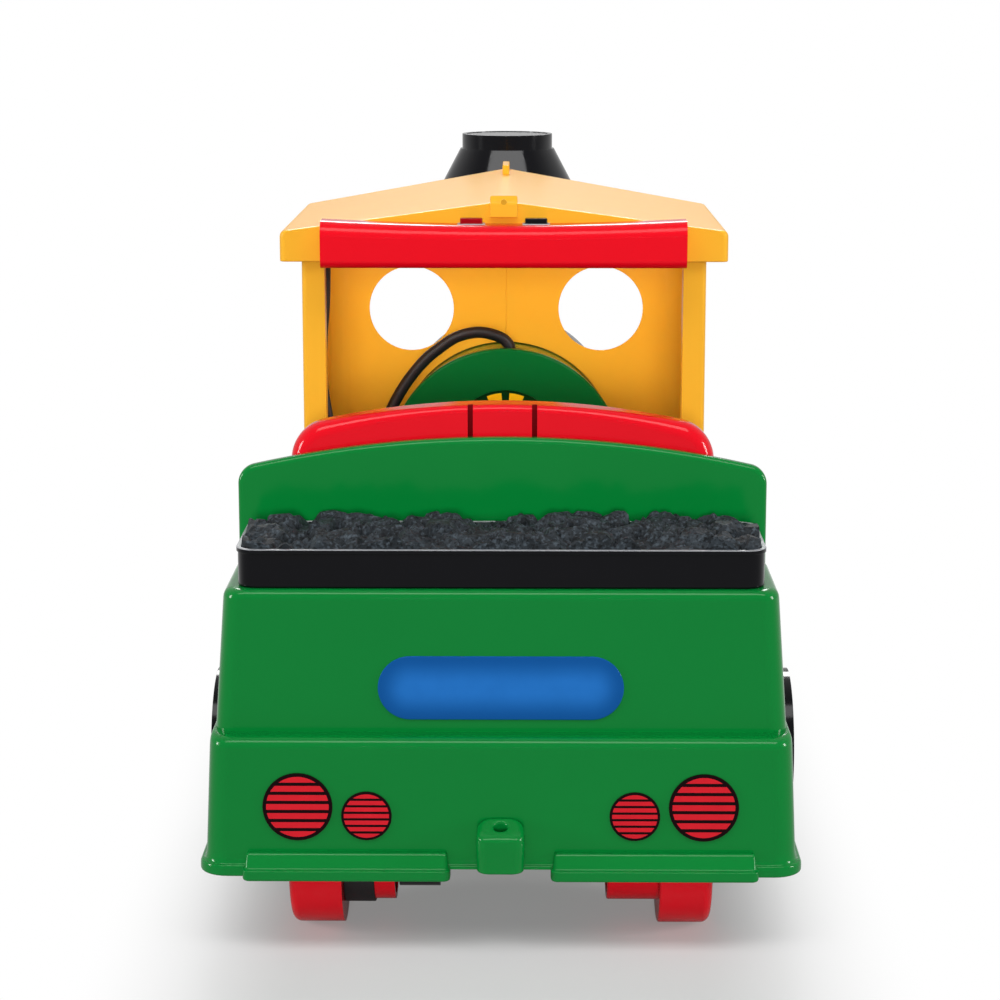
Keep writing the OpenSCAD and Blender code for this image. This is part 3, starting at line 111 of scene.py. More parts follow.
class TrainPaints(PropertyGroup):
    """Colours of the train's finishes."""
    green: colour("Green", "Base, tender, panel and boiler", 3, 121, 48)
    dark_green: colour("Dark green", "Backhead inside the cab", 6, 98, 42)
    black: colour("Black", "Tray, chimney, smokebox and brackets", 9, 9, 13)
    red: colour("Red", "Seat, handle bar and wheels", 222, 8, 28)
    yellow: colour("Yellow", "Cab and roof", 236, 173, 47)
    grey: colour("Grey", "Side rods", 150, 152, 156)
    coal: colour("Coal", "Lumps of coal", 42, 48, 53)
    white: colour("White", "Nylon gears", 232, 230, 220)
    rubber: colour("Rubber", "Lead and traction ring", 20, 20, 22)
    light: colour("Tail light", "Red of the printed tail lights", 204, 32, 44)
    badge: colour("Badge", "Middle of the bare plate", 36, 112, 192)
    badge_rim: colour("Badge rim", "Rim of the bare plate", 14, 80, 148)
    dial: colour("Dial", "Segments of the gauge", 252, 206, 26)


class TrainForms(PropertyGroup):
    """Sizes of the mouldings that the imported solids' boxes don't give."""
    wall: length("Wall", "Thickness of the large mouldings", 0.004)
    base_draft: length("Base draft", "How far the skirt spreads on each side", 0.006)
    base_corner: length("Base corner", "Radius of the base's upright corners", 0.020)
    base_edge: length("Base edge", "Rounding of the deck's edge", 0.010)
    flange_out: length("Flange reach", "How far the flange stands out of the skirt", 0.0045)
    flange_height: length("Flange height", "Height of the flange", 0.010)
    lip_depth: length("Lip depth", "How far the rear lips stand out", 0.018)
    lip_height: length("Lip height", "Height of the rear lips", 0.022)
    lip_inner: length("Lip inner end", "Distance of a lip's inner end from the middle", 0.043)
    lip_inset: length("Lip inset", "Distance of a lip's outer end from the deck's side", 0.029)
    notch: length("Notch", "Height of the notch under the tow hook", 0.007)
    foot_half: length("Footwell half width", "Half the width of the footwell", 0.165)
    foot_gap: length("Footwell gap", "Distance from the footwell to the seat box and the cab", 0.012)
    foot_floor: length("Footwell floor", "Height of the footwell's floor", 0.090)
    rib: length("Rib", "Height of the ribs under the deck", 0.030)
    tender_draft: length("Tender draft", "How far the tender leans in on each side", 0.009)
    tender_corner: length("Tender corner", "Radius of the tender's upright corners", 0.018)
    tender_edge: length("Tender edge", "Rounding of the tender's top edge", 0.009)
    tray_wall: length("Tray wall", "Thickness of the coal tray", 0.003)
    tray_bead: length("Tray bead", "How far the bead on the tray's rim stands out", 0.0012)
    tray_bead_height: length("Tray bead height", "Height of the bead on the tray's rim", 0.004)
    tray_corner: length("Tray corner", "Radius of the tray's corners", 0.018)
    tray_lip: length("Tray lip", "Width of the tray's seat on the tender", 0.014)
    tray_skirt: length("Tray skirt", "How deep the tray reaches into the tender", 0.010)
    tray_gap: length("Tray gap", "Gap round the tray's skirt", 0.0006)
    panel_drop: length("Panel drop", "How much lower the panel's ends are than its crown", 0.028)
    panel_corner: length("Panel corner", "Radius of the panel's shoulders", 0.018)
    panel_edge: length("Panel edge", "Rounding of the panel's edges", 0.005)
    seat_drop: length("Seat drop", "How much lower the seat back's ends are than its crown", 0.022)
    seat_corner: length("Seat corner", "Radius of the seat back's shoulders", 0.037)
    seat_edge: length("Seat edge", "Rounding of the seat back's top edge in the middle", 0.006)
    seat_side: length("Seat side edge", "Rounding of the seat back's edge at its sides", 0.016)
    seat_back: length("Seat back", "Thickness of the seat's back", 0.036)
    pan_corner: length("Pan corner", "Radius of the seat pan's corners", 0.014)
    pan_edge: length("Pan edge", "Rounding of the seat pan's edge", 0.007)
    pan_height: length("Pan height", "Height of the seat pan's top over its foot", 0.0227)
    dish: length("Dish", "How deep the seat's pan is dished", 0.007)
    latch: length("Latch", "Width of the latch tongue in the seat's back", 0.058)
    slot_width: length("Slot width", "Width of the slots beside the latch", 0.0046)
    slot_depth: length("Slot depth", "Depth of the slots", 0.009)
    slot_height: length("Slot height", "Height of the slots", 0.050)
    roof_edge: length("Roof edge", "Rounding of the roof's edges", 0.006)
    ridge_half: length("Ridge", "Half the width of the flat on the ridge", 0.003)
    ridge_rise: length("Ridge rise", "Rise of the ridge above the eaves, at the front", 0.037)
    ridge_sag: length("Ridge sag", "How much lower the ridge is at the rear", 0.009)
    eave: length("Eave", "Height of the eaves", 0.029)
    lug_width: length("Lug width", "Width of the lug at the roof's rear", 0.026)
    lug_depth: length("Lug depth", "How far the lug stands out", 0.006)
    lug_height: length("Lug height", "Height of the lug", 0.020)
    lug_fall: length("Lug fall", "How much lower the lug's top is at its rear", 0.006)
    lug_set: length("Lug set", "How far the lug's foot lies below the ridge's rear end", 0.0145)
    fin_width: length("Fin width", "Width of the fin on the ridge", 0.007)
    fin_length: length("Fin length", "Length of the fin on the ridge", 0.060)
    bar_dip: length("Bar dip", "How far the handle bar's middle lies below the solid's top", 0.0025)
    bar_rise: length("Bar rise", "How much higher the handle bar's ends are than its middle", 0.0045)
    bezel_set: length("Bezel set", "How far the buttons' bezels sink into the handle bar", 0.001)
    cone_waist: number("Cone waist", "Spread of the chimney's cone near its top, in shares of a straight one",
                       0.71)
    hook_fall: length("Hook fall", "How much lower the tow hook's top is at its rear", 0.011)
    hook_corner: length("Hook corner", "Radius of the tow hook's upright corners", 0.010)
    hook_edge: length("Hook edge", "Rounding of the tow hook's top edge", 0.007)
    hook_bore: length("Hook bore", "Radius of the hole for the tow pin", 0.006)
    hook_bore_set: length("Hook bore set", "How far the hole lies ahead of the hook's middle", 0.002)
    lead_diameter: length("Lead", "Diameter of the lead", 0.012)


class TrainCoal(PropertyGroup):
    """The heap of coal in the tray."""
    lumps: IntProperty(name="Lumps", description="Number of lumps and chips", default=480, min=10)
    facets: IntProperty(name="Facets", description="Broken faces on each lump", default=7, min=3)
    seed: IntProperty(name="Seed", description="Seed of the lumps' places", default=5)
    pitch: length("Pitch", "Spacing of the points on the heap", 0.0016)
    lump: length("Lump", "Reach of a lump's steep faces from its middle", 0.013)
    chip: length("Chip", "How far the highest chip stands out", 0.0045)


class TrainStage(PropertyGroup):
    """Camera and light."""
    lens: number("Lens", "Focal length in millimetres", 93.6)
    camera: FloatVectorProperty(name="Camera", description="Place of the camera", subtype="XYZ",
                                unit="LENGTH", default=(0.020, -2.605, 0.819))
    tilt: number("Tilt", "How far the camera looks down", radians(11.2), unit="ROTATION")
    turn: number("Turn", "How far the camera looks to the left", radians(0.55), unit="ROTATION")
    fill: number("Fill", "Strength of the light from all round", 0.16, min=0)
    key: number("Key", "Strength of the broad light behind the camera", 1.55, min=0)
    top: power("Top", "Power of the lamp over the train", 47)
    cab: power("Cab", "Power of each small lamp under the roof", 0.21)
    front: power("Front", "Power of the lamp ahead of the train", 200)
    side: power("Side", "Power of the lamp on each side", 105)


class Value:
    """A socket of a finish. Arithmetic on it adds Math nodes to that finish."""

    def __init__(self, finish, socket):
        self.finish = finish
        self.socket = socket

    def math(self, operation, *terms):
        """One Math node."""
        return self.finish.add("ShaderNodeMath", {"operation": operation}, dict(enumerate(terms)))

    def __add__(self, other):
        return self.math("ADD", self, other)

    __radd__ = __add__

    def __sub__(self, other):
        return self.math("SUBTRACT", self, other)

    def __rsub__(self, other):
        return self.math("SUBTRACT", other, self)

    def __mul__(self, other):
        return self.math("MULTIPLY", self, other)

    __rmul__ = __mul__

    def __truediv__(self, other):
        return self.math("DIVIDE", self, other)

    def __lt__(self, other):
        return self.math("LESS_THAN", self, other)

    def __gt__(self, other):
        return self.math("GREATER_THAN", self, other)

    def __abs__(self):
        return self.math("ABSOLUTE", self)


class Finish:
    """A material or a world whose nodes are being laid out."""

    def __init__(self, owner):
        self.owner = owner
        owner.use_nodes = True
        self.tree = owner.node_tree
        self.tree.nodes.clear()

    @staticmethod
    def find(sockets, key):
        """A socket by its number, its identifier or its name."""
        if isinstance(key, int):
            return sockets[key]
        return next(s for s in sockets if key in (s.identifier, s.name))

    def add(self, kind, settings=None, values=None, output=0):
        """Adds a node, sets its settings and then its sockets' values or links, and gives one output."""
        node = self.tree.nodes.new(kind)
        for name, setting in (settings or {}).items():
            setattr(node, name, setting)
        for key, value in (values or {}).items():
            socket = self.find(node.inputs, key)
            if isinstance(value, Value):
                self.tree.links.new(value.socket, socket)
            else:
                socket.default_value = value
        return Value(self, self.find(node.outputs, output)) if len(node.outputs) else node

    def place(self):
        """The point's own place, in metres."""
        return self.add("ShaderNodeTexCoord", output="Object")

    def parts(self, vector):
        """The three numbers of a vector."""
        first = self.add("ShaderNodeSeparateXYZ", values={0: vector})
        return [Value(self, socket) for socket in first.socket.node.outputs]

    def noise(self, scale, detail=2.0, place=None):
        """Soft noise from 0 to 1, scale waves to the metre."""
        return self.add("ShaderNodeTexNoise", values={
            "Vector": place or self.place(), "Scale": scale, "Detail": detail})

    def ramp(self, value, low, high, start=0.0, end=1.0):
        """A smooth step from start to end while value goes from low to high."""
        return self.add("ShaderNodeMapRange", {"interpolation_type": "SMOOTHSTEP"}, {
            "Value": value, "From Min": low, "From Max": high, "To Min": start, "To Max": end})

    def mix(self, share, first, second):
        """Two colours, share of the second."""
        ends = [tone if isinstance(tone, Value) else (*tone, 1) for tone in (first, second)]
        return self.add("ShaderNodeMix", {"data_type": "RGBA"}, {
            "Factor_Float": share, "A_Color": ends[0], "B_Color": ends[1]}, "Result_Color")

    def bump(self, height, depth):
        """A normal from a height of 0 to 1 that stands for depth metres."""
        return self.add("ShaderNodeBump", values={"Height": height, "Distance": depth, "Strength": 1.0})

    def peel(self, depth=0.000008):
        """A normal with the faint orange peel of a moulding."""
        return self.bump(self.noise(420.0, 1.0), depth)

    def above(self, value, least=0.0):
        """The larger of a value and another."""
        return value.math("MAXIMUM", value, least)

    def distance(self, first, second):
        """The length of the two sides' diagonal: sqrt(first^2 + second^2)."""
        return first.math("SQRT", first * first + second * second)

    def surface(self, **sockets):
        """The shader and the output. Names are sockets with _ for a space."""
        values = {name.replace("_", " "): value for name, value in sockets.items()}
        shader = self.add("ShaderNodeBsdfPrincipled", values=values)
        self.add("ShaderNodeOutputMaterial", values={"Surface": shader})
        return self.owner


def shade(tone, share):
    """A colour made darker or lighter."""
    return tuple(min(1.0, level * share) for level in tone)


def drifting(finish, tone):
    """A moulding's colour, with a slow drift and faint clouds, and the clouds themselves."""
    clouds = finish.noise(38.0, 4.0)
    toned = finish.mix(finish.noise(4.0), shade(tone, 0.94), shade(tone, 1.05))
    return finish.mix(clouds * 0.2, toned, shade(tone, 0.84)), clouds


def moulded(finish, tone, rough=0.2, gloss=0.12, peel=0.000008, wear=0.03):
    """Glossy moulded plastic: a drifting tone, orange peel, and clouds and handling marks in its gloss."""
    toned, clouds = drifting(finish, tone)
    marks = finish.ramp(finish.noise(120.0, 5.0), 0.52, 0.75)
    return finish.surface(
        Base_Color=toned,
        Roughness=rough - wear + 2 * wear * clouds + wear * marks,
        Normal=finish.peel(peel),
        Specular_IOR_Level=gloss,
    )


def slotted_seat(finish, tone):
    """Glossy red moulding with painted shade in the slots beside the latch tongue: the red is darker and
    rougher there.
    """
    form = bpy.context.scene.train_forms
    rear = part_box("seat")[0].y
    across, along, _ = finish.parts(finish.place())
    off = abs(abs(across) - form.latch / 2)
    # Painted shade: slot is 1 on the slots' walls and floor, where the red is mixed towards a dark red.
    slot = (off < 0.52 * form.slot_width) * finish.ramp(along, rear + 0.001, rear + 0.004)
    slot = slot * (along < rear + form.slot_depth + 0.001)
    toned, clouds = drifting(finish, tone)
    return finish.surface(
        Base_Color=finish.mix(slot * 0.85, toned, shade(tone, 0.12)),
        Roughness=0.1 + 0.06 * clouds + 0.4 * slot,
        Normal=finish.peel(),
        Specular_IOR_Level=0.28,
    )


def tray_with_rim_highlight(finish, tone, highlight_tone):
    """Glossy black moulding with a painted highlight on its rim: the top half millimetre turns grey and
    rougher, broken up by fine noise.
    """
    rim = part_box("coal_tray")[1].z
    _, _, up = finish.parts(finish.place())
    # Painted highlight: the grey along the rim's top stands for the light that the rim's rounding catches.
    rim_highlight = finish.ramp(up + 0.0004 * finish.noise(240.0, 3.0), rim - 0.0007, rim - 0.0001)
    clouds = finish.noise(38.0, 4.0)
    toned = finish.mix(clouds, shade(tone, 0.8), shade(tone, 1.2))
    return finish.surface(
        Base_Color=finish.mix(rim_highlight, toned, highlight_tone),
        Roughness=0.1 + 0.08 * clouds + 0.2 * rim_highlight,
        Normal=finish.peel(),
        Specular_IOR_Level=0.25,
    )


def coal_lumps(finish, tone):
    """Moulded coal: dull broken faces with pale patches that are painted highlights, light and dark speckle
    and rough grain.
    """
    # Painted highlight: the pale patches stand for the grey sheen that the lumps' faces catch.
    highlight_patches = finish.ramp(finish.noise(70.0, 4.0), 0.40, 0.66)
    speckle = finish.ramp(finish.noise(260.0, 4.0), 0.50, 0.66)
    pits = finish.ramp(finish.noise(330.0, 3.0), 0.52, 0.62)
    grain = finish.noise(900.0, 3.0)
    toned = finish.mix(highlight_patches, shade(tone, 0.6), shade(tone, 1.3))
    toned = finish.mix(speckle * 0.7, toned, shade(tone, 3.2))
    toned = finish.mix(pits * 0.8, toned, shade(tone, 0.12))
    return finish.surface(
        Base_Color=toned,
        Roughness=0.5 + 0.3 * grain,
        Normal=finish.bump(finish.noise(330.0, 5.0), 0.0016),
        Specular_IOR_Level=0.25,
    )


def matte(finish, tone, rough=0.55, grain=800.0):
    """Matt plastic, rubber or board with a fine grain."""
    fine = finish.noise(grain, 3.0)
    clouds = finish.noise(45.0, 3.0)
    toned = finish.mix(clouds, shade(tone, 0.8), shade(tone, 1.2))
    return finish.surface(
        Base_Color=toned,
        Roughness=rough - 0.1 + 0.2 * fine,
        Normal=finish.bump(fine, 0.00008),
    )


def bright_steel(finish):
    """Bright steel with fine turning marks."""
    across = finish.add("ShaderNodeMapping", values={"Vector": finish.place(), "Scale": (1.0, 0.1, 0.1)})
    streak = finish.noise(2600.0, 2.0, across)
    return finish.surface(
        Base_Color=finish.mix(finish.noise(60.0), (0.55, 0.55, 0.57), (0.70, 0.70, 0.71)),
        Metallic=1.0,
        Roughness=0.2 + 0.2 * streak,
        Normal=finish.bump(streak, 0.00002),
    )


def lamp_glass(finish):
    """Clear lens with faint moulded flutes."""
    across, _, _ = finish.parts(finish.place())
    flutes = abs(across.math("FRACT", across * 160.0) - 0.5)
    return finish.surface(
        Base_Color=finish.mix(finish.noise(30.0), (0.95, 0.93, 0.80), (0.98, 0.96, 0.86)),
        Roughness=0.04 + 0.04 * finish.noise(200.0),
        Normal=finish.bump(flutes, 0.0006),
        Transmission_Weight=0.35,
    )


def tail_light(finish, tone):
    """Printed round lights: a black outline and six black lines across each, in shares of its radius."""
    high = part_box("tail_reflectors")[1]
    big_r, small_r, between, lower = 0.030, 0.0217, 0.059, 0.008
    big_x = high.x - big_r
    big_z = high.z - big_r
    small_z = big_z - lower
    line_pitch, line_half, line_reach, outline = 0.27, 0.18, 0.81, 0.895
    across, _, up = finish.parts(finish.place())
    big = abs(across) > big_x - between / 2 - (big_r - small_r) / 2
    radius = small_r + big * (big_r - small_r)
    side = (abs(across) - (big_x - between) - big * between) / radius
    rise = (up - small_z - big * (big_z - small_z)) / radius
    away = finish.distance(side, rise)
    line = (abs(rise.math("FRACT", rise / line_pitch) - 0.5) < line_half) * (abs(rise) < line_reach)
    ink = finish.above(line, away > outline)
    clouds = finish.noise(60.0, 3.0)
    printed = finish.mix(clouds, shade(tone, 0.9), shade(tone, 1.1))
    return finish.surface(
        Base_Color=finish.mix(ink, printed, (0.008, 0.002, 0.003)),
        Roughness=0.2 + 0.1 * clouds,
        Normal=finish.bump(ink, 0.00002),
        Specular_IOR_Level=0.08,
    )


def gauge_print(finish, tone, ground):
    """Gauge: pairs of segments on a dark disc. The angle from the top is cut into equal cells, one in the
    middle of the top, and a segment lies to each side of a cell's middle."""
    low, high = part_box("gauge_face")
    mid_z, radius = (low.z + high.z) / 2, (high.x - low.x) / 2
    cells, gap, reach, inner, outer = 6, 0.075, 0.35, 0.60, 0.95
    across, _, up = finish.parts(finish.place())
    up = up - mid_z
    away = finish.distance(across, up) / radius
    turn = up.math("ARCTAN2", across, up) * (cells / (2 * pi)) + 0.5
    off = abs(turn.math("FRACT", turn) - 0.5)
    segment = (off > gap) * (off < reach) * (away > inner) * (away < outer)
    clouds = finish.noise(60.0, 3.0)
    return finish.surface(
        Base_Color=finish.mix(segment, finish.mix(clouds, shade(ground, 0.8), ground), tone),
        Roughness=0.25 + 0.1 * clouds,
        Normal=finish.bump(segment, 0.00002),
        Specular_IOR_Level=0.1,
    )


def bare_badge(finish, middle, rim):
    """Bare oval plate: lighter along its middle line and darker to its rim, by the distance from it."""
    low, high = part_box("badge_plate")
    mid_z, half = (low.z + high.z) / 2, (high.z - low.z) / 2
    across, _, up = finish.parts(finish.place())
    past = finish.above(abs(across) - (high.x - half))
    away = finish.distance(past, up - mid_z) / half
    clouds = finish.noise(50.0, 4.0)
    toned = finish.mix(finish.ramp(away, 0.1, 0.95), middle, rim)
    return finish.surface(
        Base_Color=finish.mix(clouds * 0.3, toned, shade(rim, 0.9)),
        Roughness=0.12 + 0.08 * clouds,
        Normal=finish.bump(finish.noise(400.0, 1.0), 0.00001),
        Specular_IOR_Level=0.1,
    )


def finish_for(slot):
    """The material of one of the record's slots, made when it is first asked for."""
    made = bpy.data.materials.get("train_" + slot)
    if made:
        return made
    paints = bpy.context.scene.train_paints
    finish = Finish(bpy.data.materials.new("train_" + slot))
    recipes = {
        "green_plastic": lambda: moulded(finish, paints.green, 0.14, 0.26),
        "dark_green_plastic": lambda: moulded(finish, paints.dark_green, 0.3, 0.1),
        "black_plastic": lambda: moulded(finish, paints.black, 0.14, 0.25),
        "chimney_black": lambda: moulded(finish, paints.black, 0.1, 0.35),
        "tray_black": lambda: tray_with_rim_highlight(finish, paints.black, paints.grey),
        # The screw's yellow at 0.7 is painted shade: the recessed head is made darker, like the dimple it
        # shows.
        "painted_screw": lambda: moulded(finish, shade(paints.yellow, 0.7), 0.3),
        "dull_bezel": lambda: moulded(finish, shade(paints.grey, 1.3), 0.4),
        # The drive button at 0.4 of the red is painted shade: it stands for the shade that the button sits
        # in.
        "button_red_painted_shade": lambda: moulded(finish, shade(paints.red, 0.4), 0.3),
        "seat_red": lambda: slotted_seat(finish, paints.red),
        "red_plastic": lambda: moulded(finish, paints.red, 0.18, 0.22),
        "yellow_plastic": lambda: moulded(finish, paints.yellow, 0.28, 0.1, 0.0000004, 0.006),
        "grey_plastic": lambda: moulded(finish, paints.grey, 0.3, 0.3),
        "white_plastic": lambda: matte(finish, paints.white, 0.4),
        "coal_plastic": lambda: coal_lumps(finish, paints.coal),
        "battery_case": lambda: matte(finish, shade(paints.coal, 0.6), 0.45),
        "circuit_board": lambda: matte(finish, shade(paints.dark_green, 0.8), 0.35),
        "rubber": lambda: matte(finish, paints.rubber, 0.5),
        "steel": lambda: bright_steel(finish),
        "lens": lambda: lamp_glass(finish),
        "reflector": lambda: tail_light(finish, paints.light),
        "gauge_print": lambda: gauge_print(finish, paints.dial, shade(paints.dark_green, 0.35)),
        "badge": lambda: bare_badge(finish, paints.badge, paints.badge_rim),
    }
    return recipes[slot]()


def grid_faces(rows, columns, wrap):
    """Quads of a grid of points that is numbered row by row. wrap joins its last column to its first."""
    index = np.arange(rows * columns).reshape(rows, columns)
    if wrap:
        index = np.concatenate([index, index[:, :1]], 1)
    corners = index[:-1, :-1], index[:-1, 1:], index[1:, 1:], index[1:, :-1]
    return np.stack(corners, -1).reshape(-1, 4).tolist()


def toward(row, other):
    """The point on the way from a row to another that lies row's rounding away, and at most halfway."""
    step = other[:5] - row[:5]
    reach = np.hypot(np.abs(step[:2]).max(), step[4])
    return row[:5] + step * min(0.5, row[5] / reach)


def eased_rows(rows, steps=6):
    """Rows of a loft with each rounding worked out: b(t) = (1-t)^2 a + 2t(1-t) row + t^2 c, between the
    points a before and c after the row."""
    rows = np.array(rows, float)
    share = np.linspace(0, 1, steps + 1)[:, None]
    made = []
    for k, row in enumerate(rows):
        if row[5] == 0 or k in (0, len(rows) - 1):
            made.append(row[None, :5])
        else:
            before, after = toward(row, rows[k - 1]), toward(row, rows[k + 1])
            made.append((1 - share) ** 2 * before + 2 * share * (1 - share) * row[:5] + share ** 2 * after)
    return np.concatenate(made)


def loft(rows, mid_x=0.0, corner_steps=8, rear_x=(), capped=True):
    """A closed skin through round rectangles, each (half width, half length, corner radius, middle, height,
    rounding): corner k is a quarter circle from k to k + 1 right angles, moved out to its corner. rear_x
    gives more places along the straight at the rear. A skin that ends on its first row isn't capped."""
    rows = eased_rows(rows)
    quarter = np.arange(4)[:, None]
    angle = ((quarter + np.linspace(0, 1, corner_steps + 1)) * pi / 2).ravel()
    sign_x = np.repeat([1, -1, -1, 1], corner_steps + 1)
    sign_y = np.repeat([1, 1, -1, -1], corner_steps + 1)
    half_x, half_y, corner, mid_y, z = rows.T[:, :, None]
    x = mid_x + sign_x * (half_x - corner) + corner * np.cos(angle)
    y = mid_y + sign_y * (half_y - corner) + corner * np.sin(angle)
    if len(rear_x):
        at = 3 * (corner_steps + 1)
        rear = np.broadcast_to(np.array(rear_x), (len(rows), len(rear_x)))
        x = np.concatenate([x[:, :at], rear, x[:, at:]], 1)
        y = np.concatenate([y[:, :at], np.broadcast_to(mid_y - half_y, rear.shape), y[:, at:]], 1)
    points = np.stack([x, y, np.broadcast_to(z, x.shape)], -1)
    count, around = x.shape
    last = np.arange((count - 1) * around, count * around).tolist()
    caps = [list(range(around))[::-1], last] if capped else []
    return points.reshape(-1, 3), grid_faces(count, around, True) + caps


def slab(s, t, near, far, order):
    """A closed solid between two sheets on one grid: near and far give the third coordinate at (s, t), and
    order says which of s, t and the third are x, y and z."""
    rows, columns = s.shape
    count = rows * columns
    sheets = [np.stack([(s, t, w)[k] for k in order], -1).reshape(-1, 3) for w in (near, far)]
    index = np.arange(count).reshape(rows, columns)
    rim = np.concatenate([index[0, :-1], index[:-1, -1], index[-1, :0:-1], index[:0:-1, 0]])
    after = np.roll(rim, -1)
    quads = grid_faces(rows, columns, False)
    back = (np.array(quads)[:, ::-1] + count).tolist()
    edge = np.stack([after, rim, rim + count, after + count], -1).tolist()
    return np.concatenate(sheets), quads + back + edge


def quarter_round(depth, edge):
    """How far a face falls back at a depth inside its outline: edge - sqrt(edge^2 - (edge - depth)^2), and 0
    past edge."""
    gap = np.clip(edge - depth, 0, None)
    return edge - np.sqrt(np.maximum(edge ** 2 - gap ** 2, 0))


class Arch:
    """An outline with straight sides, round shoulders and a crown that is one large arc through both."""

    def __init__(self, half, crown, drop, corner, foot):
        self.half, self.corner, self.foot = half, corner, foot
        self.radius = (half ** 2 + drop ** 2) / (2 * drop)
        self.mid = crown - self.radius
        self.shoulder_x = half - corner
        self.shoulder_z = self.mid + np.sqrt((self.radius - corner) ** 2 - self.shoulder_x ** 2)

    def top(self, x):
        """Height of the outline over x: the crown's circle, and the shoulder's from where it leaves it."""
        past = np.abs(x) - self.shoulder_x
        shoulder = self.shoulder_z + np.sqrt(np.maximum(self.corner ** 2 - np.maximum(past, 0) ** 2, 0))
        crown = self.mid + np.sqrt(self.radius ** 2 - x ** 2)
        leave = self.shoulder_x * self.radius / (self.radius - self.corner)
        return np.where(np.abs(x) > leave, np.minimum(crown, shoulder), crown)

    def depth(self, x, z):
        """Distance inside the outline, apart from its foot."""
        side = self.half - np.abs(x)
        crown = self.radius - np.hypot(x, z - self.mid)
        past_x, past_z = np.abs(x) - self.shoulder_x, z - self.shoulder_z
        lean = past_x * (self.shoulder_z - self.mid) - past_z * self.shoulder_x
        in_shoulder = (past_x > 0) & (past_z > 0) & (lean > 0)
        shoulder = self.corner - np.hypot(past_x, past_z)
        return np.maximum(np.where(in_shoulder, shoulder, np.minimum(side, crown)), 0)


def fan(half, count):
    """Places from -half to half that lie closer near both ends: half sin(a) for even steps of a."""
    return half * np.sin(np.linspace(-pi / 2, pi / 2, count))


def round_ends(share, x, half_x, half_y, corner):
    """The place along a round rectangle at x whose share of the way from its middle to its edge is given:
    share (half_y - corner + sqrt(corner^2 - past^2)), past being how far x is into the corner."""
    past = np.maximum(np.abs(x) - (half_x - corner), 0)
    return share * (half_y - corner + np.sqrt(np.maximum(corner ** 2 - past ** 2, 0)))


def arched_slab(arch, y_rear, y_front, edge, side_edge, extra_x=(), extra_share=(), columns=120, rows=60):
    """Grid and faces of an arched slab with round edges: x runs across, the share runs up from the foot to
    the outline, and both faces fall back by quarter_round near the outline. The rounding goes from edge in
    the middle to side_edge at both sides, with the square of x."""
    x = np.union1d(fan(arch.half, columns), extra_x)
    share = np.union1d(np.sin(np.linspace(0, pi / 2, rows)), extra_share)
    x, share = np.meshgrid(x, share)
    z = arch.foot + share * (arch.top(x) - arch.foot)
    fall = quarter_round(arch.depth(x, z), edge + (side_edge - edge) * (x / arch.half) ** 2)
    return x, z, y_rear + fall, y_front - fall


def add_piece(name, shapes, body, slot, nodes, sharp=40.0):
    """One closed object from a list of shapes, each points and faces, that stands for solids."""
    points, faces, count = [], [], 0
    for shape_points, shape_faces in shapes:
        points.append(shape_points)
        faces += [[count + k for k in face] for face in shape_faces]
        count += len(shape_points)
    mesh = bpy.data.meshes.new(name)
    mesh.from_pydata(np.concatenate(points).tolist(), [], faces)
    work = bmesh.new()
    work.from_mesh(mesh)
    bmesh.ops.remove_doubles(work, verts=work.verts, dist=SAME_POINT)
    bmesh.ops.recalc_face_normals(work, faces=work.faces)
    work.to_mesh(mesh)
    work.free()
    return set_piece(name, mesh, body, slot, nodes, sharp)


def set_piece(name, mesh, body, slot, nodes, sharp):
    """Smooths a mesh, gives it its finish and sets it on its body in place of solids."""
    mesh.shade_smooth()
    mesh.set_sharp_from_angle(angle=radians(sharp))
    mesh.materials.append(finish_for(slot))
    piece = bpy.data.objects.new(name, mesh)
    bpy.context.scene.collection.objects.link(piece)
    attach(piece, body)
    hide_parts(*nodes)
    return piece


def add_flat_piece(*details):
    """A piece of add_piece whose flat faces stay flat beside its round edges."""
    return weigh_normals(add_piece(*details))


def weigh_normals(piece):
    """Lets the flat faces keep their shading beside round edges."""
    keeper = piece.modifiers.new("Flat faces", "WEIGHTED_NORMAL")
    keeper.keep_sharp = True
    return piece


def ease_edges(node, width, segments=3, angle=32.0, cuts=(), across=(1, 0, 0), reshape=None):
    """A copy of a solid with its edges rounded: its doubles merged, its flat triangles joined, then
    bevelled. Before that it is cut square to across at the places in cuts, and reshape moves its points."""
    solid = frame["nodes"][node]
    work = bmesh.new()
    work.from_mesh(solid.data)
    bmesh.ops.remove_doubles(work, verts=work.verts, dist=SAME_POINT)
    bmesh.ops.dissolve_limit(work, angle_limit=FLAT, verts=work.verts, edges=work.edges)
    for cut in cuts:
        bmesh.ops.bisect_plane(work, geom=work.verts[:] + work.edges[:] + work.faces[:], dist=SAME_POINT,
                               plane_co=[cut * share for share in across], plane_no=across)
    mesh = bpy.data.meshes.new(node + "_eased")
    work.to_mesh(mesh)
    work.free()
    if reshape:
        points = np.empty(3 * len(mesh.vertices))
        mesh.vertices.foreach_get("co", points)
        mesh.vertices.foreach_set("co", reshape(points.reshape(-1, 3)).ravel())
    piece = set_piece(mesh.name, mesh, solid["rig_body"], SLOTS[node], [node], angle)
    bevel = piece.modifiers.new("Eased edges", "BEVEL")
    bevel.width = width
    bevel.segments = segments
    bevel.limit_method = "ANGLE"
    bevel.angle_limit = radians(angle)
    return weigh_normals(piece)


def ease_all(widths):
    """Rounds the edges of some solids, each by its own width."""
    for node, width in widths.items():
        ease_edges(node, width)


def look(piece, recipe):
    """Gives a piece a finish of its own in place of its slot's."""
    piece.data.materials[0] = finish_for(recipe)


def middle(node):
    """Half width, half length, middle along the train, lowest and highest point of a solid."""
    low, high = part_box(node)
    return (high.x - low.x) / 2, (high.y - low.y) / 2, (high.y + low.y) / 2, low.z, high.z


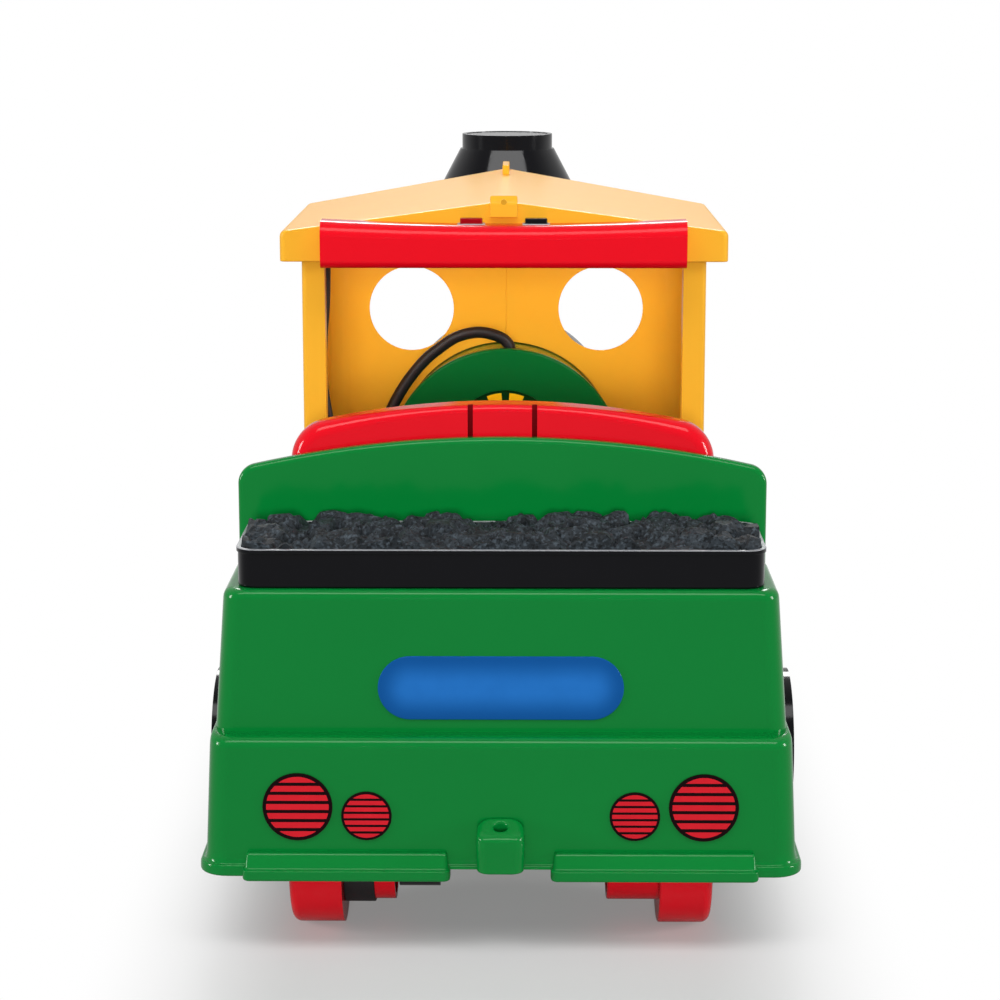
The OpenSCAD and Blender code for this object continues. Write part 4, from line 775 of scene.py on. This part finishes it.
class TRAIN_OT_stage(Operator):
    """Sets up the camera, the lamps, the white surround and the floor"""
    bl_idname = "train.stage"
    bl_label = "Stage"

    def execute(self, context):
        scene, stage = context.scene, context.scene.train_stage
        scene.view_settings.view_transform = "Standard"
        camera = bpy.data.objects.new("camera", bpy.data.cameras.new("camera"))
        camera.data.lens = stage.lens
        camera.data.sensor_width = 36
        camera.location = stage.camera
        camera.rotation_euler = (pi / 2 - stage.tilt, 0, stage.turn)
        scene.collection.objects.link(camera)
        scene.camera = camera
        key = bpy.data.objects.new("key", bpy.data.lights.new("key", "SUN"))
        key.data.energy = stage.key
        key.data.angle = radians(10)
        key.rotation_euler = (radians(83.5), 0, 0)
        key.visible_glossy = False
        scene.collection.objects.link(key)
        self.add_lamp(scene, "top", stage.top, (3.4, 1.0), (0.0, -1.5, 2.7), 33)
        self.add_lamp(scene, "front", stage.front, (2.6, 1.6), (0.0, 4.6, 3.4), -56)
        for name, side in (("left", -1), ("right", 1)):
            self.add_lamp(scene, "cab_" + name, stage.cab, (0.12, 0.08), (side * 0.12, -0.08, 0.553), 60)
            self.add_lamp(scene, name, stage.side, (0.9, 1.6), (side * 4.8, -1.2, 1.4), 78, side * 76)
        self.surround(scene, stage.fill)
        self.lay_floor(scene)
        return {"FINISHED"}

    def add_lamp(self, scene, name, energy, size, place, tilt, turn=0):
        """An oblong soft lamp, tilted about X from looking down and then turned about Z, in degrees."""
        lamp = bpy.data.objects.new(name, bpy.data.lights.new(name, "AREA"))
        lamp.data.energy = energy
        lamp.data.shape = "RECTANGLE"
        lamp.data.size, lamp.data.size_y = size
        lamp.location = place
        lamp.rotation_euler = (radians(tilt), 0, radians(turn))
        scene.collection.objects.link(lamp)

    def surround(self, scene, fill):
        """White to the camera and through glass, dim behind the train and brighter ahead of it to gloss, and
        a soft fill to everything else."""
        scene.world = bpy.data.worlds.new("surround")
        finish = Finish(scene.world)
        _, ahead, _ = finish.parts(finish.add("ShaderNodeTexCoord", output="Generated"))
        seen = self.seen(finish, finish.ramp(ahead, -0.3, 0.5, 0.12, 0.55))
        light = finish.add("ShaderNodeBackground", values={
            "Color": (1, 1, 1, 1), "Strength": fill + (1 - fill) * seen})
        finish.add("ShaderNodeOutputWorld", values={"Surface": light})

    def seen(self, finish, gloss):
        """1 for a ray from the camera or through glass, and gloss for a mirrored one."""
        rays = finish.add("ShaderNodeLightPath")
        names = "Is Camera Ray", "Is Glossy Ray", "Is Transmission Ray"
        rays = [Value(finish, rays.socket.node.outputs[name]) for name in names]
        total = rays[0] + rays[1] * gloss + rays[2]
        return total.math("MINIMUM", total, 1.0)

    def lay_floor(self, scene):
        """A pale floor that keeps the train's shadow and turns white away from it, by the distance from a
        strip under the train. To gloss it is dim behind the train."""
        half, strip_x, strip_y, fade, lift = 6.0, 0.16, 0.58, 0.20, 0.2
        least, grey, white = 0.3, 0.5, (1, 1, 1, 1)
        mesh = bpy.data.meshes.new("floor")
        corners = half * np.array([[-1, -1, 0], [1, -1, 0], [1, 1, 0], [-1, 1, 0]])
        mesh.from_pydata(corners.tolist(), [], [[0, 1, 2, 3]])
        finish = Finish(bpy.data.materials.new("floor_paper"))
        x, y, _ = finish.parts(finish.place())
        away = finish.distance(finish.above(abs(x) - strip_x), finish.above(abs(y) - strip_y))
        seen = self.seen(finish, finish.ramp(y, -0.9, 0.6, 0.12, 0.8))
        paper = finish.add("ShaderNodeBsdfDiffuse", values={"Color": (grey, grey, grey, 1)})
        glow = finish.add("ShaderNodeEmission", values={"Color": white, "Strength": seen * lift})
        lit = finish.add("ShaderNodeAddShader", values={0: paper, 1: glow})
        level = least + (1 - least) * seen
        bare = finish.add("ShaderNodeEmission", values={"Color": white, "Strength": level})
        both = finish.add("ShaderNodeMixShader", values={0: finish.ramp(away, 0.0, fade), 1: lit, 2: bare})
        finish.add("ShaderNodeOutputMaterial", values={"Surface": both})
        mesh.materials.append(finish.owner)
        floor = bpy.data.objects.new("floor", mesh)
        scene.collection.objects.link(floor)


# The lead's route, repeated from the part's source: points listed in metres
LEAD_ROUTE = np.array([
    (0.005, 0.085, 0.435), (0.005, 0.085, 0.443), (0.004, 0.085, 0.450), (-0.002, 0.086, 0.457),
    (-0.014, 0.087, 0.462), (-0.028, 0.088, 0.464), (-0.042, 0.088, 0.462), (-0.055, 0.088, 0.457),
    (-0.068, 0.088, 0.448), (-0.082, 0.087, 0.437), (-0.094, 0.085, 0.424), (-0.106, 0.082, 0.408),
    (-0.117, 0.078, 0.389), (-0.129, 0.073, 0.364), (-0.1415, 0.066, 0.338), (-0.1505, 0.052, 0.312),
    (-0.1585, 0.030, 0.291), (-0.1645, 0.002, 0.281), (-0.1675, -0.026, 0.284), (-0.1685, -0.054, 0.300),
    (-0.1675, -0.078, 0.326), (-0.1675, -0.095, 0.360), (-0.1715, -0.106, 0.400), (-0.1765, -0.112, 0.440),
    (-0.1765, -0.113, 0.480), (-0.1735, -0.113, 0.520), (-0.1725, -0.113, 0.556), (-0.1725, -0.113, 0.575)])


class TRAIN_OT_lead(Operator):
    """Sweeps the lead from the boiler to the roof along its route"""
    bl_idname = "train.lead"
    bl_label = "Lead"

    def execute(self, context):
        radius = context.scene.train_forms.lead_diameter / 2
        path = self.curve(LEAD_ROUTE, 6)
        tube = self.tube(path, radius, 14)
        piece = add_piece("lead_hose", [tube], "train", "rubber", ["roof_lead"])
        return {"FINISHED"}

    def curve(self, points, steps):
        """Catmull-Rom curve: between two points it is the cubic whose slopes there are half of the chord
        between each one's neighbours."""
        ends = np.concatenate([points[:1], points, points[-1:]])
        a, b, c, d = (ends[k:len(points) - 1 + k, None] for k in range(4))
        t = (np.arange(steps) / steps)[None, :, None]
        bend, twist = 2 * a - 5 * b + 4 * c - d, 3 * b - a - 3 * c + d
        cubic = 0.5 * (2 * b + (c - a) * t + bend * t ** 2 + twist * t ** 3)
        return np.concatenate([cubic.reshape(-1, 3), points[-1:]])

    def tube(self, path, radius, sides):
        """A circle carried along a path: point + radius (cos side + sin up), with side square to the run and
        to a fixed slanting line."""
        run = np.gradient(path, axis=0)
        run /= np.linalg.norm(run, axis=1)[:, None]
        side = np.cross(run, (0.35, 0.9, 0.26))
        side /= np.linalg.norm(side, axis=1)[:, None]
        up = np.cross(side, run)
        angle = np.arange(sides) * 2 * pi / sides
        ring = np.cos(angle)[None, :, None] * side[:, None] + np.sin(angle)[None, :, None] * up[:, None]
        points = (path[:, None] + radius * ring).reshape(-1, 3)
        first = list(range(sides))
        last = (np.arange(sides) + (len(path) - 1) * sides).tolist()
        return points, grid_faces(len(path), sides, True) + [first[::-1], last]


class TRAIN_OT_solids(Operator):
    """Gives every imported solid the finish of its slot"""
    bl_idname = "train.solids"
    bl_label = "Solids"

    def execute(self, context):
        for node, slot in SLOTS.items():
            mesh = frame["nodes"][node].data
            mesh.materials.clear()
            mesh.materials.append(finish_for(slot))
        return {"FINISHED"}


class TRAIN_OT_base(Operator):
    """Moulds the base: tub, skirt, flange, deck, rear lips and ribs"""
    bl_idname = "train.base"
    bl_label = "Base"

    def execute(self, context):
        form = context.scene.train_forms
        low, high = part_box("base_body")
        y0, y1 = low.y + form.lip_depth, high.y - form.flange_out
        mid, half_y = (y0 + y1) / 2, (y1 - y0) / 2
        foot_x = high.x - form.flange_out
        deck_x = foot_x - form.base_draft
        side = form.lip_inner + 1e-5 * np.array([-1, 1])
        shell = loft(self.shell_rows(form, mid, half_y, foot_x, deck_x, low.z, high.z),
                     rear_x=np.concatenate([-side[::-1], side]))
        under_hook = (np.abs(shell[0][:, 0]) < form.lip_inner) & (shell[0][:, 1] < y0 + form.base_corner / 2)
        shell[0][under_hook, 2] = np.maximum(shell[0][under_hook, 2], low.z + form.notch)
        lip_half = (deck_x - form.lip_inset - form.lip_inner) / 2
        lips = [self.lip(form, side * (form.lip_inner + lip_half), lip_half, y0, low.z) for side in (-1, 1)]
        under = high.z - form.wall
        ribs = [loft([(deck_x - form.wall / 2, form.wall / 2, form.wall / 8, y, z, 0)
                      for z in (under - form.rib, under + form.wall / 4)])
                for y in (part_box("seat_panel")[1].y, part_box("cab_left")[1].y - form.wall)]
        add_flat_piece("base_shell", [shell, *lips, *ribs], "train", "green_plastic", ["base_body"])
        return {"FINISHED"}

    def shell_rows(self, form, mid, half_y, foot_x, deck_x, skirt, deck):
        """The base's skin from under the footwell, out under the deck, down inside the skirt, up outside it,
        over the deck and down into the footwell."""
        wall, corner, out = form.wall, form.base_corner, form.flange_out
        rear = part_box("seat_box")[1].y + form.foot_gap
        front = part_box("cab_left")[1].y - wall - form.foot_gap
        foot_mid, foot_y = (rear + front) / 2, (front - rear) / 2
        foot, tub, floor = form.foot_half, form.foot_half + wall, form.foot_floor
        flange_top = skirt + form.flange_height
        return [
            (tub, foot_y + wall, 0.020, foot_mid, floor - wall, 0),
            (tub, foot_y + wall, 0.020, foot_mid, deck - wall, 0.003),
            (deck_x - wall, half_y - wall, corner - wall, mid, deck - wall, 0.003),
            (deck_x - wall, half_y - wall, corner - wall, mid, skirt, 0.001),
            (foot_x + out, half_y + out, corner + out, mid, skirt, 0.0025),
            (foot_x + out, half_y + out, corner + out, mid, flange_top, 0.004),
            (foot_x - out / 6, half_y, corner, mid, flange_top, 0.012),
            (deck_x, half_y, corner, mid, deck, form.base_edge),
            (foot, foot_y, 0.016, foot_mid, deck, 0.004),
            (foot - wall, foot_y - wall, 0.012, foot_mid, floor, 0.008),
            (foot - 4 * wall, foot_y - 4 * wall, 0.006, foot_mid, floor, 0),
        ]

    def lip(self, form, mid_x, half, y0, skirt):
        """A bar along the rear wall's foot: an upright band below, a small step, and a face that leans in to
        the top."""
        corner, depth, height = 0.006, form.lip_depth, form.lip_height
        half_y, mid = (depth + corner) / 2, y0 + (corner - depth) / 2
        step, lean, rise = 0.0016, 0.004, 0.42 * height
        return loft([
            (half - 0.004, half_y - 0.004, corner / 2, mid, skirt, 0),
            (half, half_y, corner, mid, skirt, 0.003),
            (half, half_y, corner, mid, skirt + rise, 0.0012),
            (half - step, half_y - step, corner - step, mid + step, skirt + rise + step / 3, 0.0012),
            (half - 2 * step, half_y - step - lean, corner / 3, mid + step + lean, skirt + height, 0.002),
            (half - 6 * step, half_y - 2 * lean, corner / 4, mid + 2 * lean, skirt + height, 0),
        ], mid_x)


class TRAIN_OT_tender(Operator):
    """Moulds the tender, the arched panel behind the seat and the bare badge plate"""
    bl_idname = "train.tender"
    bl_label = "Tender"

    def execute(self, context):
        form = context.scene.train_forms
        foot_x, half_y, mid, deck, top = middle("tender_body")
        tray_x, tray_y, tray_mid, _, _ = middle("coal_tray")
        hole_x, hole_y = tray_x - form.tray_lip, tray_y - form.tray_lip
        wall, corner = form.wall, form.tender_corner
        top_x = foot_x - form.tender_draft
        box = loft([
            (foot_x, half_y, corner, mid, deck, 0),
            (top_x, half_y, corner, mid, top, form.tender_edge),
            (hole_x, hole_y, 0.006, tray_mid, top, 0.001),
            (hole_x, hole_y, 0.006, tray_mid, top - wall, 0.001),
            (top_x - wall, half_y - wall, corner - wall, mid, top - wall, 0.003),
            (top_x - wall, half_y - wall, corner - wall, mid, deck + wall, 0.003),
            (top_x - 4 * wall, half_y - 4 * wall, corner / 3, mid, deck + wall, 0),
        ])
        add_flat_piece("tender_shell", [box], "train", "green_plastic", ["tender_body"])
        half, half_t, panel_mid, foot, crown = middle("seat_panel")
        arch = Arch(half, crown, form.panel_drop, form.panel_corner, foot)
        edge = form.panel_edge
        panel = slab(*arched_slab(arch, panel_mid - half_t, panel_mid + half_t, edge, edge), (0, 2, 1))
        add_flat_piece("panel_shell", [panel], "train", "green_plastic", ["seat_panel"])
        self.badge()
        return {"FINISHED"}

    def badge(self):
        """An oval plate with a soft rim: rows of a loft that is laid against the tender's rear wall."""
        half, half_t, mid, low, high = middle("badge_plate")
        rise, thick, soft = (high - low) / 2, 2 * half_t, 0.006
        corner = rise - 1e-4
        rows = [(half, rise, corner, 0, 0, 0), (half, rise, corner, 0, thick, thick),
                (half - soft, rise - soft, corner - soft, 0, thick, 0)]
        points, faces = loft(rows, corner_steps=24)
        x, up, out = points.T
        points = np.stack([x, mid + half_t - out, (low + high) / 2 + up], -1)
        add_piece("badge_oval", [(points, faces)], "train", "badge", ["badge_plate"])


class TRAIN_OT_coal(Operator):
    """Moulds the coal tray and heaps it with broken lumps"""
    bl_idname = "train.coal"
    bl_label = "Coal"

    def execute(self, context):
        form, heap = context.scene.train_forms, context.scene.train_coal
        half_x, half_y, mid, low, rim = middle("coal_tray")
        wall, bead, corner = form.tray_wall, form.tray_bead, form.tray_corner
        seat = low + form.tray_skirt
        skirt_x, skirt_y = half_x - form.tray_lip - form.tray_gap, half_y - form.tray_lip - form.tray_gap
        inner_x, inner_y, inner_r = half_x - bead - wall, half_y - bead - wall, corner - bead - wall
        bead_z = rim - form.tray_bead_height
        tray = loft([
            (skirt_x - wall, skirt_y - wall, 0.0024, mid, seat, 0),
            (skirt_x - wall, skirt_y - wall, 0.0024, mid, low, 0.0008),
            (skirt_x, skirt_y, 0.0054, mid, low, 0.0008),
            (skirt_x, skirt_y, 0.0054, mid, seat, 0),
            (half_x - bead, half_y - bead, corner - bead, mid, seat, 0.002),
            (half_x - bead, half_y - bead, corner - bead, mid, bead_z, 0.0006),
            (half_x, half_y, corner, mid, bead_z, 0.0006),
            (half_x, half_y, corner, mid, rim, 0.0009),
            (inner_x, inner_y, inner_r, mid, rim, 0.0009),
            (inner_x, inner_y, inner_r, mid, seat + wall, 0.002),
            (inner_x - wall, inner_y - wall, inner_r - wall, mid, seat + wall, 0),
        ])
        look(add_flat_piece("tray_shell", [tray], "coal_bin", "black_plastic", ["coal_tray"]), "tray_black")
        add_piece("coal_heap", [self.heap(heap, inner_r)], "coal_bin", "coal_plastic", ["coal_load"], 22.0)
        return {"FINISHED"}

    def heap(self, heap, corner):
        """Highest of many lumps over a grid: a lump's height is the lowest of its top plane, top - lean .
        (x, y), and its steep planes, top - slope (direction . (x, y) - start reach). The last two thirds are
        chips, less than half as wide, that stand a little out of what lies under them."""
        half_x, half_y, mid, floor, high = middle("coal_load")
        _, _, _, _, rim = middle("coal_tray")
        dip, rise = 0.0015, high - rim
        x = np.linspace(-half_x, half_x, round(2 * half_x / heap.pitch) + 1)
        share = np.linspace(-1, 1, round(2 * half_y / heap.pitch) + 1)
        x, share = np.meshgrid(x, share)
        y = round_ends(share, x, half_x, half_y, corner)
        draw = np.random.default_rng(heap.seed)
        count = heap.lumps
        mid_x, mid_y = draw.uniform(-half_x, half_x, count), draw.uniform(-half_y, half_y, count)
        reach = heap.lump * draw.uniform(0.55, 1.25, count)
        tops = rim - dip + (dip + rise) * draw.uniform(0.1, 0.9, count)
        leans = draw.uniform(-0.35, 0.35, (count, 2))
        turns = draw.uniform(0, 2 * pi, (count, heap.facets))
        slopes = draw.uniform(0.7, 2.2, (count, heap.facets))
        starts = draw.uniform(0.1, 0.8, (count, heap.facets))
        chip = np.arange(count) >= count // 3
        reach = np.where(chip, 0.45 * reach, reach)
        column = np.rint((mid_x + half_x) / (2 * half_x) * (x.shape[1] - 1)).astype(int)
        line = np.rint((mid_y + half_y) / (2 * half_y) * (x.shape[0] - 1)).astype(int)
        ground = rim - dip + 0.002 * np.sin(90 * x) * np.cos(130 * y)
        for k in range(count):
            dx, dy = x - mid_x[k], y - mid_y[k]
            if chip[k]:
                tops[k] = ground[line[k], column[k]] + heap.chip * (tops[k] - rim) / rise
            height = tops[k] - leans[k, 0] * dx - leans[k, 1] * dy
            for turn, slope, start in zip(turns[k], slopes[k], starts[k]):
                off = np.cos(turn) * dx + np.sin(turn) * dy - start * reach[k]
                height = np.minimum(height, tops[k] - slope * off)
            ground = np.maximum(ground, np.where(np.hypot(dx, dy) < 2.2 * reach[k], height, ground))
        top = np.minimum(ground, high)
        return slab(x, mid + y, top, np.full_like(top, floor), (0, 1, 2))


class TRAIN_OT_seat(Operator):
    """Moulds the seat: an arched back with a latch tongue between two slots, and a dished pan"""
    bl_idname = "train.seat"
    bl_label = "Seat"

    def execute(self, context):
        form = context.scene.train_forms
        low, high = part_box("seat")
        shapes = [self.back(form, low, high), self.pan(form, low)]
        look(add_flat_piece("seat_shell_red", shapes, "seat_shell", "red_plastic", ["seat"]), "seat_red")
        return {"FINISHED"}

    def back(self, form, low, high):
        """The arched slab, with its rear face pushed in where a slot is."""
        arch = Arch(high.x, high.z, form.seat_drop, form.seat_corner, low.z)
        inner = (form.latch - form.slot_width) / 2
        outer = inner + form.slot_width
        lip = 2e-5
        edges = np.array([inner - lip, inner + lip, outer - lip, outer + lip])
        foot = (high.z - form.slot_height - low.z) / (arch.top(np.array(inner)) - low.z)
        x, z, rear, front = arched_slab(arch, low.y, low.y + form.seat_back, form.seat_edge, form.seat_side,
                                        np.concatenate([-edges, edges]), (foot - 1e-4, foot + 1e-4))
        in_slot = (np.abs(x) > inner) & (np.abs(x) < outer) & (z > high.z - form.slot_height)
        rear = np.where(in_slot, np.maximum(rear, low.y + form.slot_depth), rear)
        return slab(x, z, rear, front, (0, 2, 1))

    def pan(self, form, low):
        """The pan: a round rectangle from inside the back to the box's front, whose top falls by
        quarter_round at its rim and by a cosine dish across."""
        rear, front = low.y + form.seat_back / 2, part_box("seat_box")[1].y
        half_x, half_y, mid_y = middle("seat_box")[0], (front - rear) / 2, (front + rear) / 2
        corner, rows, dish_share, dish_ramp = form.pan_corner, 60, 0.72, 0.03
        x, share = np.meshgrid(fan(half_x, 2 * rows), fan(1, rows))
        y = round_ends(share, x, half_x, half_y, corner)
        over_x, over_y = np.abs(x) - (half_x - corner), np.abs(y) - (half_y - corner)
        outside = np.hypot(np.maximum(over_x, 0), np.maximum(over_y, 0))
        depth = np.maximum(corner - outside - np.minimum(np.maximum(over_x, over_y), 0), 0)
        top = low.z + form.pan_height - quarter_round(depth, form.pan_edge)
        bowl = np.cos(pi / 2 * np.clip(x / (dish_share * half_x), -1, 1)) ** 2
        ahead = np.clip((mid_y + y - low.y - form.seat_back) / dish_ramp, 0, 1)
        before = np.clip((half_y - y) / dish_ramp, 0, 1)
        top = top - form.dish * bowl * ahead * before
        return slab(x, mid_y + y, top, np.full_like(top, low.z), (0, 1, 2))


class TRAIN_OT_roof(Operator):
    """Moulds the gable roof with its lug and its fin"""
    bl_idname = "train.roof"
    bl_label = "Roof"

    def execute(self, context):
        form = context.scene.train_forms
        low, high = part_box("roof")
        wall, edge, ridge_half = form.wall, form.roof_edge, form.ridge_half
        rear, front = low.y + form.lug_depth, high.y
        mid, half_y, half_x = (rear + front) / 2, (front - rear) / 2, high.x
        eave_top = low.z + form.eave
        ridge = eave_top + form.ridge_rise - form.ridge_sag / 2
        points, faces = loft([
            (ridge_half / 2, half_y - wall, ridge_half / 3, mid, ridge - wall, 0),
            (half_x - wall, half_y - wall, 0.002, mid, eave_top - wall, 0.003),
            (half_x - wall, half_y - wall, 0.002, mid, low.z, 0.001),
            (half_x, half_y, edge, mid, low.z, 0.0015),
            (half_x, half_y, edge, mid, eave_top, edge),
            (ridge_half * 2, half_y, ridge_half, mid, ridge - 0.0004, 0.003),
            (ridge_half, half_y, ridge_half - 1e-4, mid, ridge, 0),
        ])
        climb = np.clip((points[:, 2] - eave_top) / (ridge - eave_top), 0, 1)
        points[:, 2] += climb * form.ridge_sag / 2 * (points[:, 1] - mid) / half_y
        lug_foot = eave_top + form.ridge_rise - form.ridge_sag - form.lug_set
        small_edge, lug_edge, fin_height = 0.0015, 0.003, 0.016
        lug = self.block(form.lug_width / 2, rear - form.lug_depth, rear + wall / 2, lug_foot,
                         form.lug_height, small_edge, lug_edge)
        back = np.clip((rear - lug[0][:, 1]) / form.lug_depth, 0, 1)
        lug[0][:, 2] -= form.lug_fall * back * np.clip((lug[0][:, 2] - lug_foot) / form.lug_height, 0, 1)
        fin = self.block(form.fin_width / 2, front - form.fin_length, front, high.z - fin_height, fin_height,
                         small_edge, small_edge)
        add_flat_piece("roof_shell", [(points, faces), lug, fin], "train", "yellow_plastic", ["roof"])
        look(ease_edges("lug_screw", 0.0003), "painted_screw")
        return {"FINISHED"}

    def block(self, half, y0, y1, z0, height, edge, top_edge):
        """A small block with soft edges and its own rounding at the top."""
        half_y, mid = (y1 - y0) / 2, (y0 + y1) / 2
        inner = min(half, half_y) - edge / 2
        return loft([
            (half - edge, half_y - edge, edge / 2, mid, z0, 0),
            (half, half_y, edge, mid, z0, edge),
            (half, half_y, edge, mid, z0 + height, top_edge),
            (half - inner, half_y - inner, edge / 4, mid, z0 + height, 0),
        ], corner_steps=4)


class TRAIN_OT_cab(Operator):
    """Dips the handle bar in its middle, and eases the cab's, the buttons' and the seat box's edges"""
    bl_idname = "train.cab"
    bl_label = "Cab and controls"

    def execute(self, context):
        form = context.scene.train_forms
        ease_all({"cab_left": 0.0012, "cab_right": 0.0012, "backhead": 0.0008, "lead_grommet": 0.0006,
                  "lead_socket": 0.001, "seat_box": 0.0015})
        half, _, _, low, high = middle("handle_bar")

        def dip(points):
            """Moves the bar's top by rise (x / half)^2 - dip, its foot not at all, and what lies between by
            its share of the height."""
            share = np.clip((points[:, 2] - low) / (high - low), 0, 1)
            lift = form.bar_rise * (points[:, 0] / half) ** 2 - form.bar_dip
            return points + np.outer(share * lift, (0, 0, 1))

        def sink(points):
            """Lets a piece on the bar down by its dip and the bezels' set."""
            return points - (0, 0, form.bar_dip + form.bezel_set)

        ease_edges("handle_bar", 0.005, 4, cuts=np.linspace(-half, half, 33)[1:-1], reshape=dip)
        look(ease_edges("button_bezels", 0.0007, reshape=sink), "dull_bezel")
        look(ease_edges("drive_button", 0.0012, reshape=sink), "button_red_painted_shade")
        ease_edges("horn_button", 0.0012, reshape=sink)
        return {"FINISHED"}


class TRAIN_OT_boiler(Operator):
    """Draws in the chimney's cone, and eases the edges of the boiler, the smokebox, the lamp and the dome"""
    bl_idname = "train.boiler"
    bl_label = "Boiler and chimney"

    def execute(self, context):
        ease_all({"boiler_bands": 0.0005, "smokebox": 0.0015, "smokebox_door": 0.002,
                  "headlamp_ring": 0.0015, "headlamp_lens": 0.0006, "steam_dome": 0.0012,
                  "boiler_saddle": 0.002})
        waist = context.scene.train_forms.cone_waist
        _, _, mid, _, high = middle("chimney")
        collar_r, collar, cone, flare, steps = 0.052, 0.016, 0.051, 0.2, 22

        def draw_in(points):
            """Scales what stands out of the collar's radius on the cone by a share that goes from waist to 1
            over the cone's lowest fifth."""
            x, y = points[:, 0], points[:, 1] - mid
            radius = np.hypot(x, y)
            fall = (high - collar - points[:, 2]) / cone
            foot = np.clip((fall - (1 - flare)) / flare, 0, 1)
            share = waist + (1 - waist) * foot ** 2 * (3 - 2 * foot)
            on_cone = (fall > 0) & (fall < 1) & (radius > collar_r)
            drawn = collar_r + (radius - collar_r) * share
            scale = np.where(on_cone, drawn / np.maximum(radius, SAME_POINT), 1)
            return np.stack([x * scale, mid + y * scale, points[:, 2]], -1)

        levels = high - collar - cone * np.linspace(0, 1, steps)[1:-1]
        look(ease_edges("chimney", 0.0009, cuts=levels, across=(0, 0, 1), reshape=draw_in), "chimney_black")
        look(ease_edges("chimney_cap", 0.0005), "chimney_black")
        return {"FINISHED"}


class TRAIN_OT_wheels(Operator):
    """Eases the edges of the wheels, the side wheels and their rods"""
    bl_idname = "train.wheels"
    bl_label = "Wheels"

    def execute(self, context):
        ease_all({"rear_wheel_left": 0.0018, "rear_wheel_right": 0.0018, "front_wheel_left": 0.0018,
                  "front_wheel_right": 0.0018, "traction_ring": 0.0009, "axle_caps": 0.0012,
                  "side_wheels_left": 0.0008, "side_wheels_right": 0.0008, "side_rod_left": 0.0008,
                  "side_rod_right": 0.0008})
        return {"FINISHED"}


class TRAIN_OT_ends(Operator):
    """Moulds the tow hook, and eases the edges of the buffer beam and the pilot"""
    bl_idname = "train.ends"
    bl_label = "Front and tow hook"

    def execute(self, context):
        ease_edges("buffer_beam", 0.003, 4)
        ease_edges("cowcatcher", 0.002, 4)
        form = context.scene.train_forms
        half_x, half_y, mid, low, high = middle("tow_hook")
        bore, corner, edge = form.hook_bore, form.hook_corner, form.hook_edge
        bore_y = mid + form.hook_bore_set
        foot, top = [(bore, bore, bore - 1e-4, bore_y, z) for z in (low, high)]
        lean = 0.001
        points, faces = loft([
            (*foot, 0),
            (half_x - lean, half_y - lean, corner, mid, low, 0.002),
            (half_x, half_y, corner, mid, (low + high) / 2, 0.004),
            (half_x - lean, half_y, corner, mid, high, edge),
            (*top, 0.0025),
            (*foot, 0),
        ], capped=False)
        back = (mid + half_y - points[:, 1]) / (2 * half_y)
        up = np.clip(2 * (points[:, 2] - low) / (high - low) - 1, 0, 1)
        points[:, 2] -= form.hook_fall * back * up
        add_flat_piece("tow_hook_green", [(points, faces)], "train", "green_plastic", ["tow_hook"])
        return {"FINISHED"}


OPERATORS = (TRAIN_OT_stage, TRAIN_OT_lead, TRAIN_OT_solids, TRAIN_OT_base, TRAIN_OT_tender, TRAIN_OT_coal,
             TRAIN_OT_seat, TRAIN_OT_roof, TRAIN_OT_cab, TRAIN_OT_boiler, TRAIN_OT_wheels, TRAIN_OT_ends)
GROUPS = {"train_paints": TrainPaints, "train_forms": TrainForms, "train_coal": TrainCoal,
          "train_stage": TrainStage}


class TRAIN_PT_panel(Panel):
    """Lists the train's pieces and their sizes"""
    bl_idname = "TRAIN_PT_panel"
    bl_label = "Ride-on train"
    bl_space_type = "VIEW_3D"
    bl_region_type = "UI"
    bl_category = "Train"

    def draw(self, context):
        for operator in OPERATORS:
            self.layout.operator(operator.bl_idname)
        for name, group in GROUPS.items():
            box = self.layout.box()
            for key in group.__annotations__:
                box.prop(getattr(context.scene, name), key)


def register():
    for kind in (*GROUPS.values(), *OPERATORS, TRAIN_PT_panel):
        bpy.utils.register_class(kind)
    for name, group in GROUPS.items():
        setattr(bpy.types.Scene, name, PointerProperty(type=group))


def unregister():
    for name in GROUPS:
        delattr(bpy.types.Scene, name)
    for kind in (TRAIN_PT_panel, *OPERATORS[::-1], *GROUPS.values()):
        bpy.utils.unregister_class(kind)


def main():
    """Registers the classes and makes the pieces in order."""
    register()
    for operator in OPERATORS:
        group, name = operator.bl_idname.split(".")
        getattr(getattr(bpy.ops, group), name)()


if __name__ == "__main__":
    main()
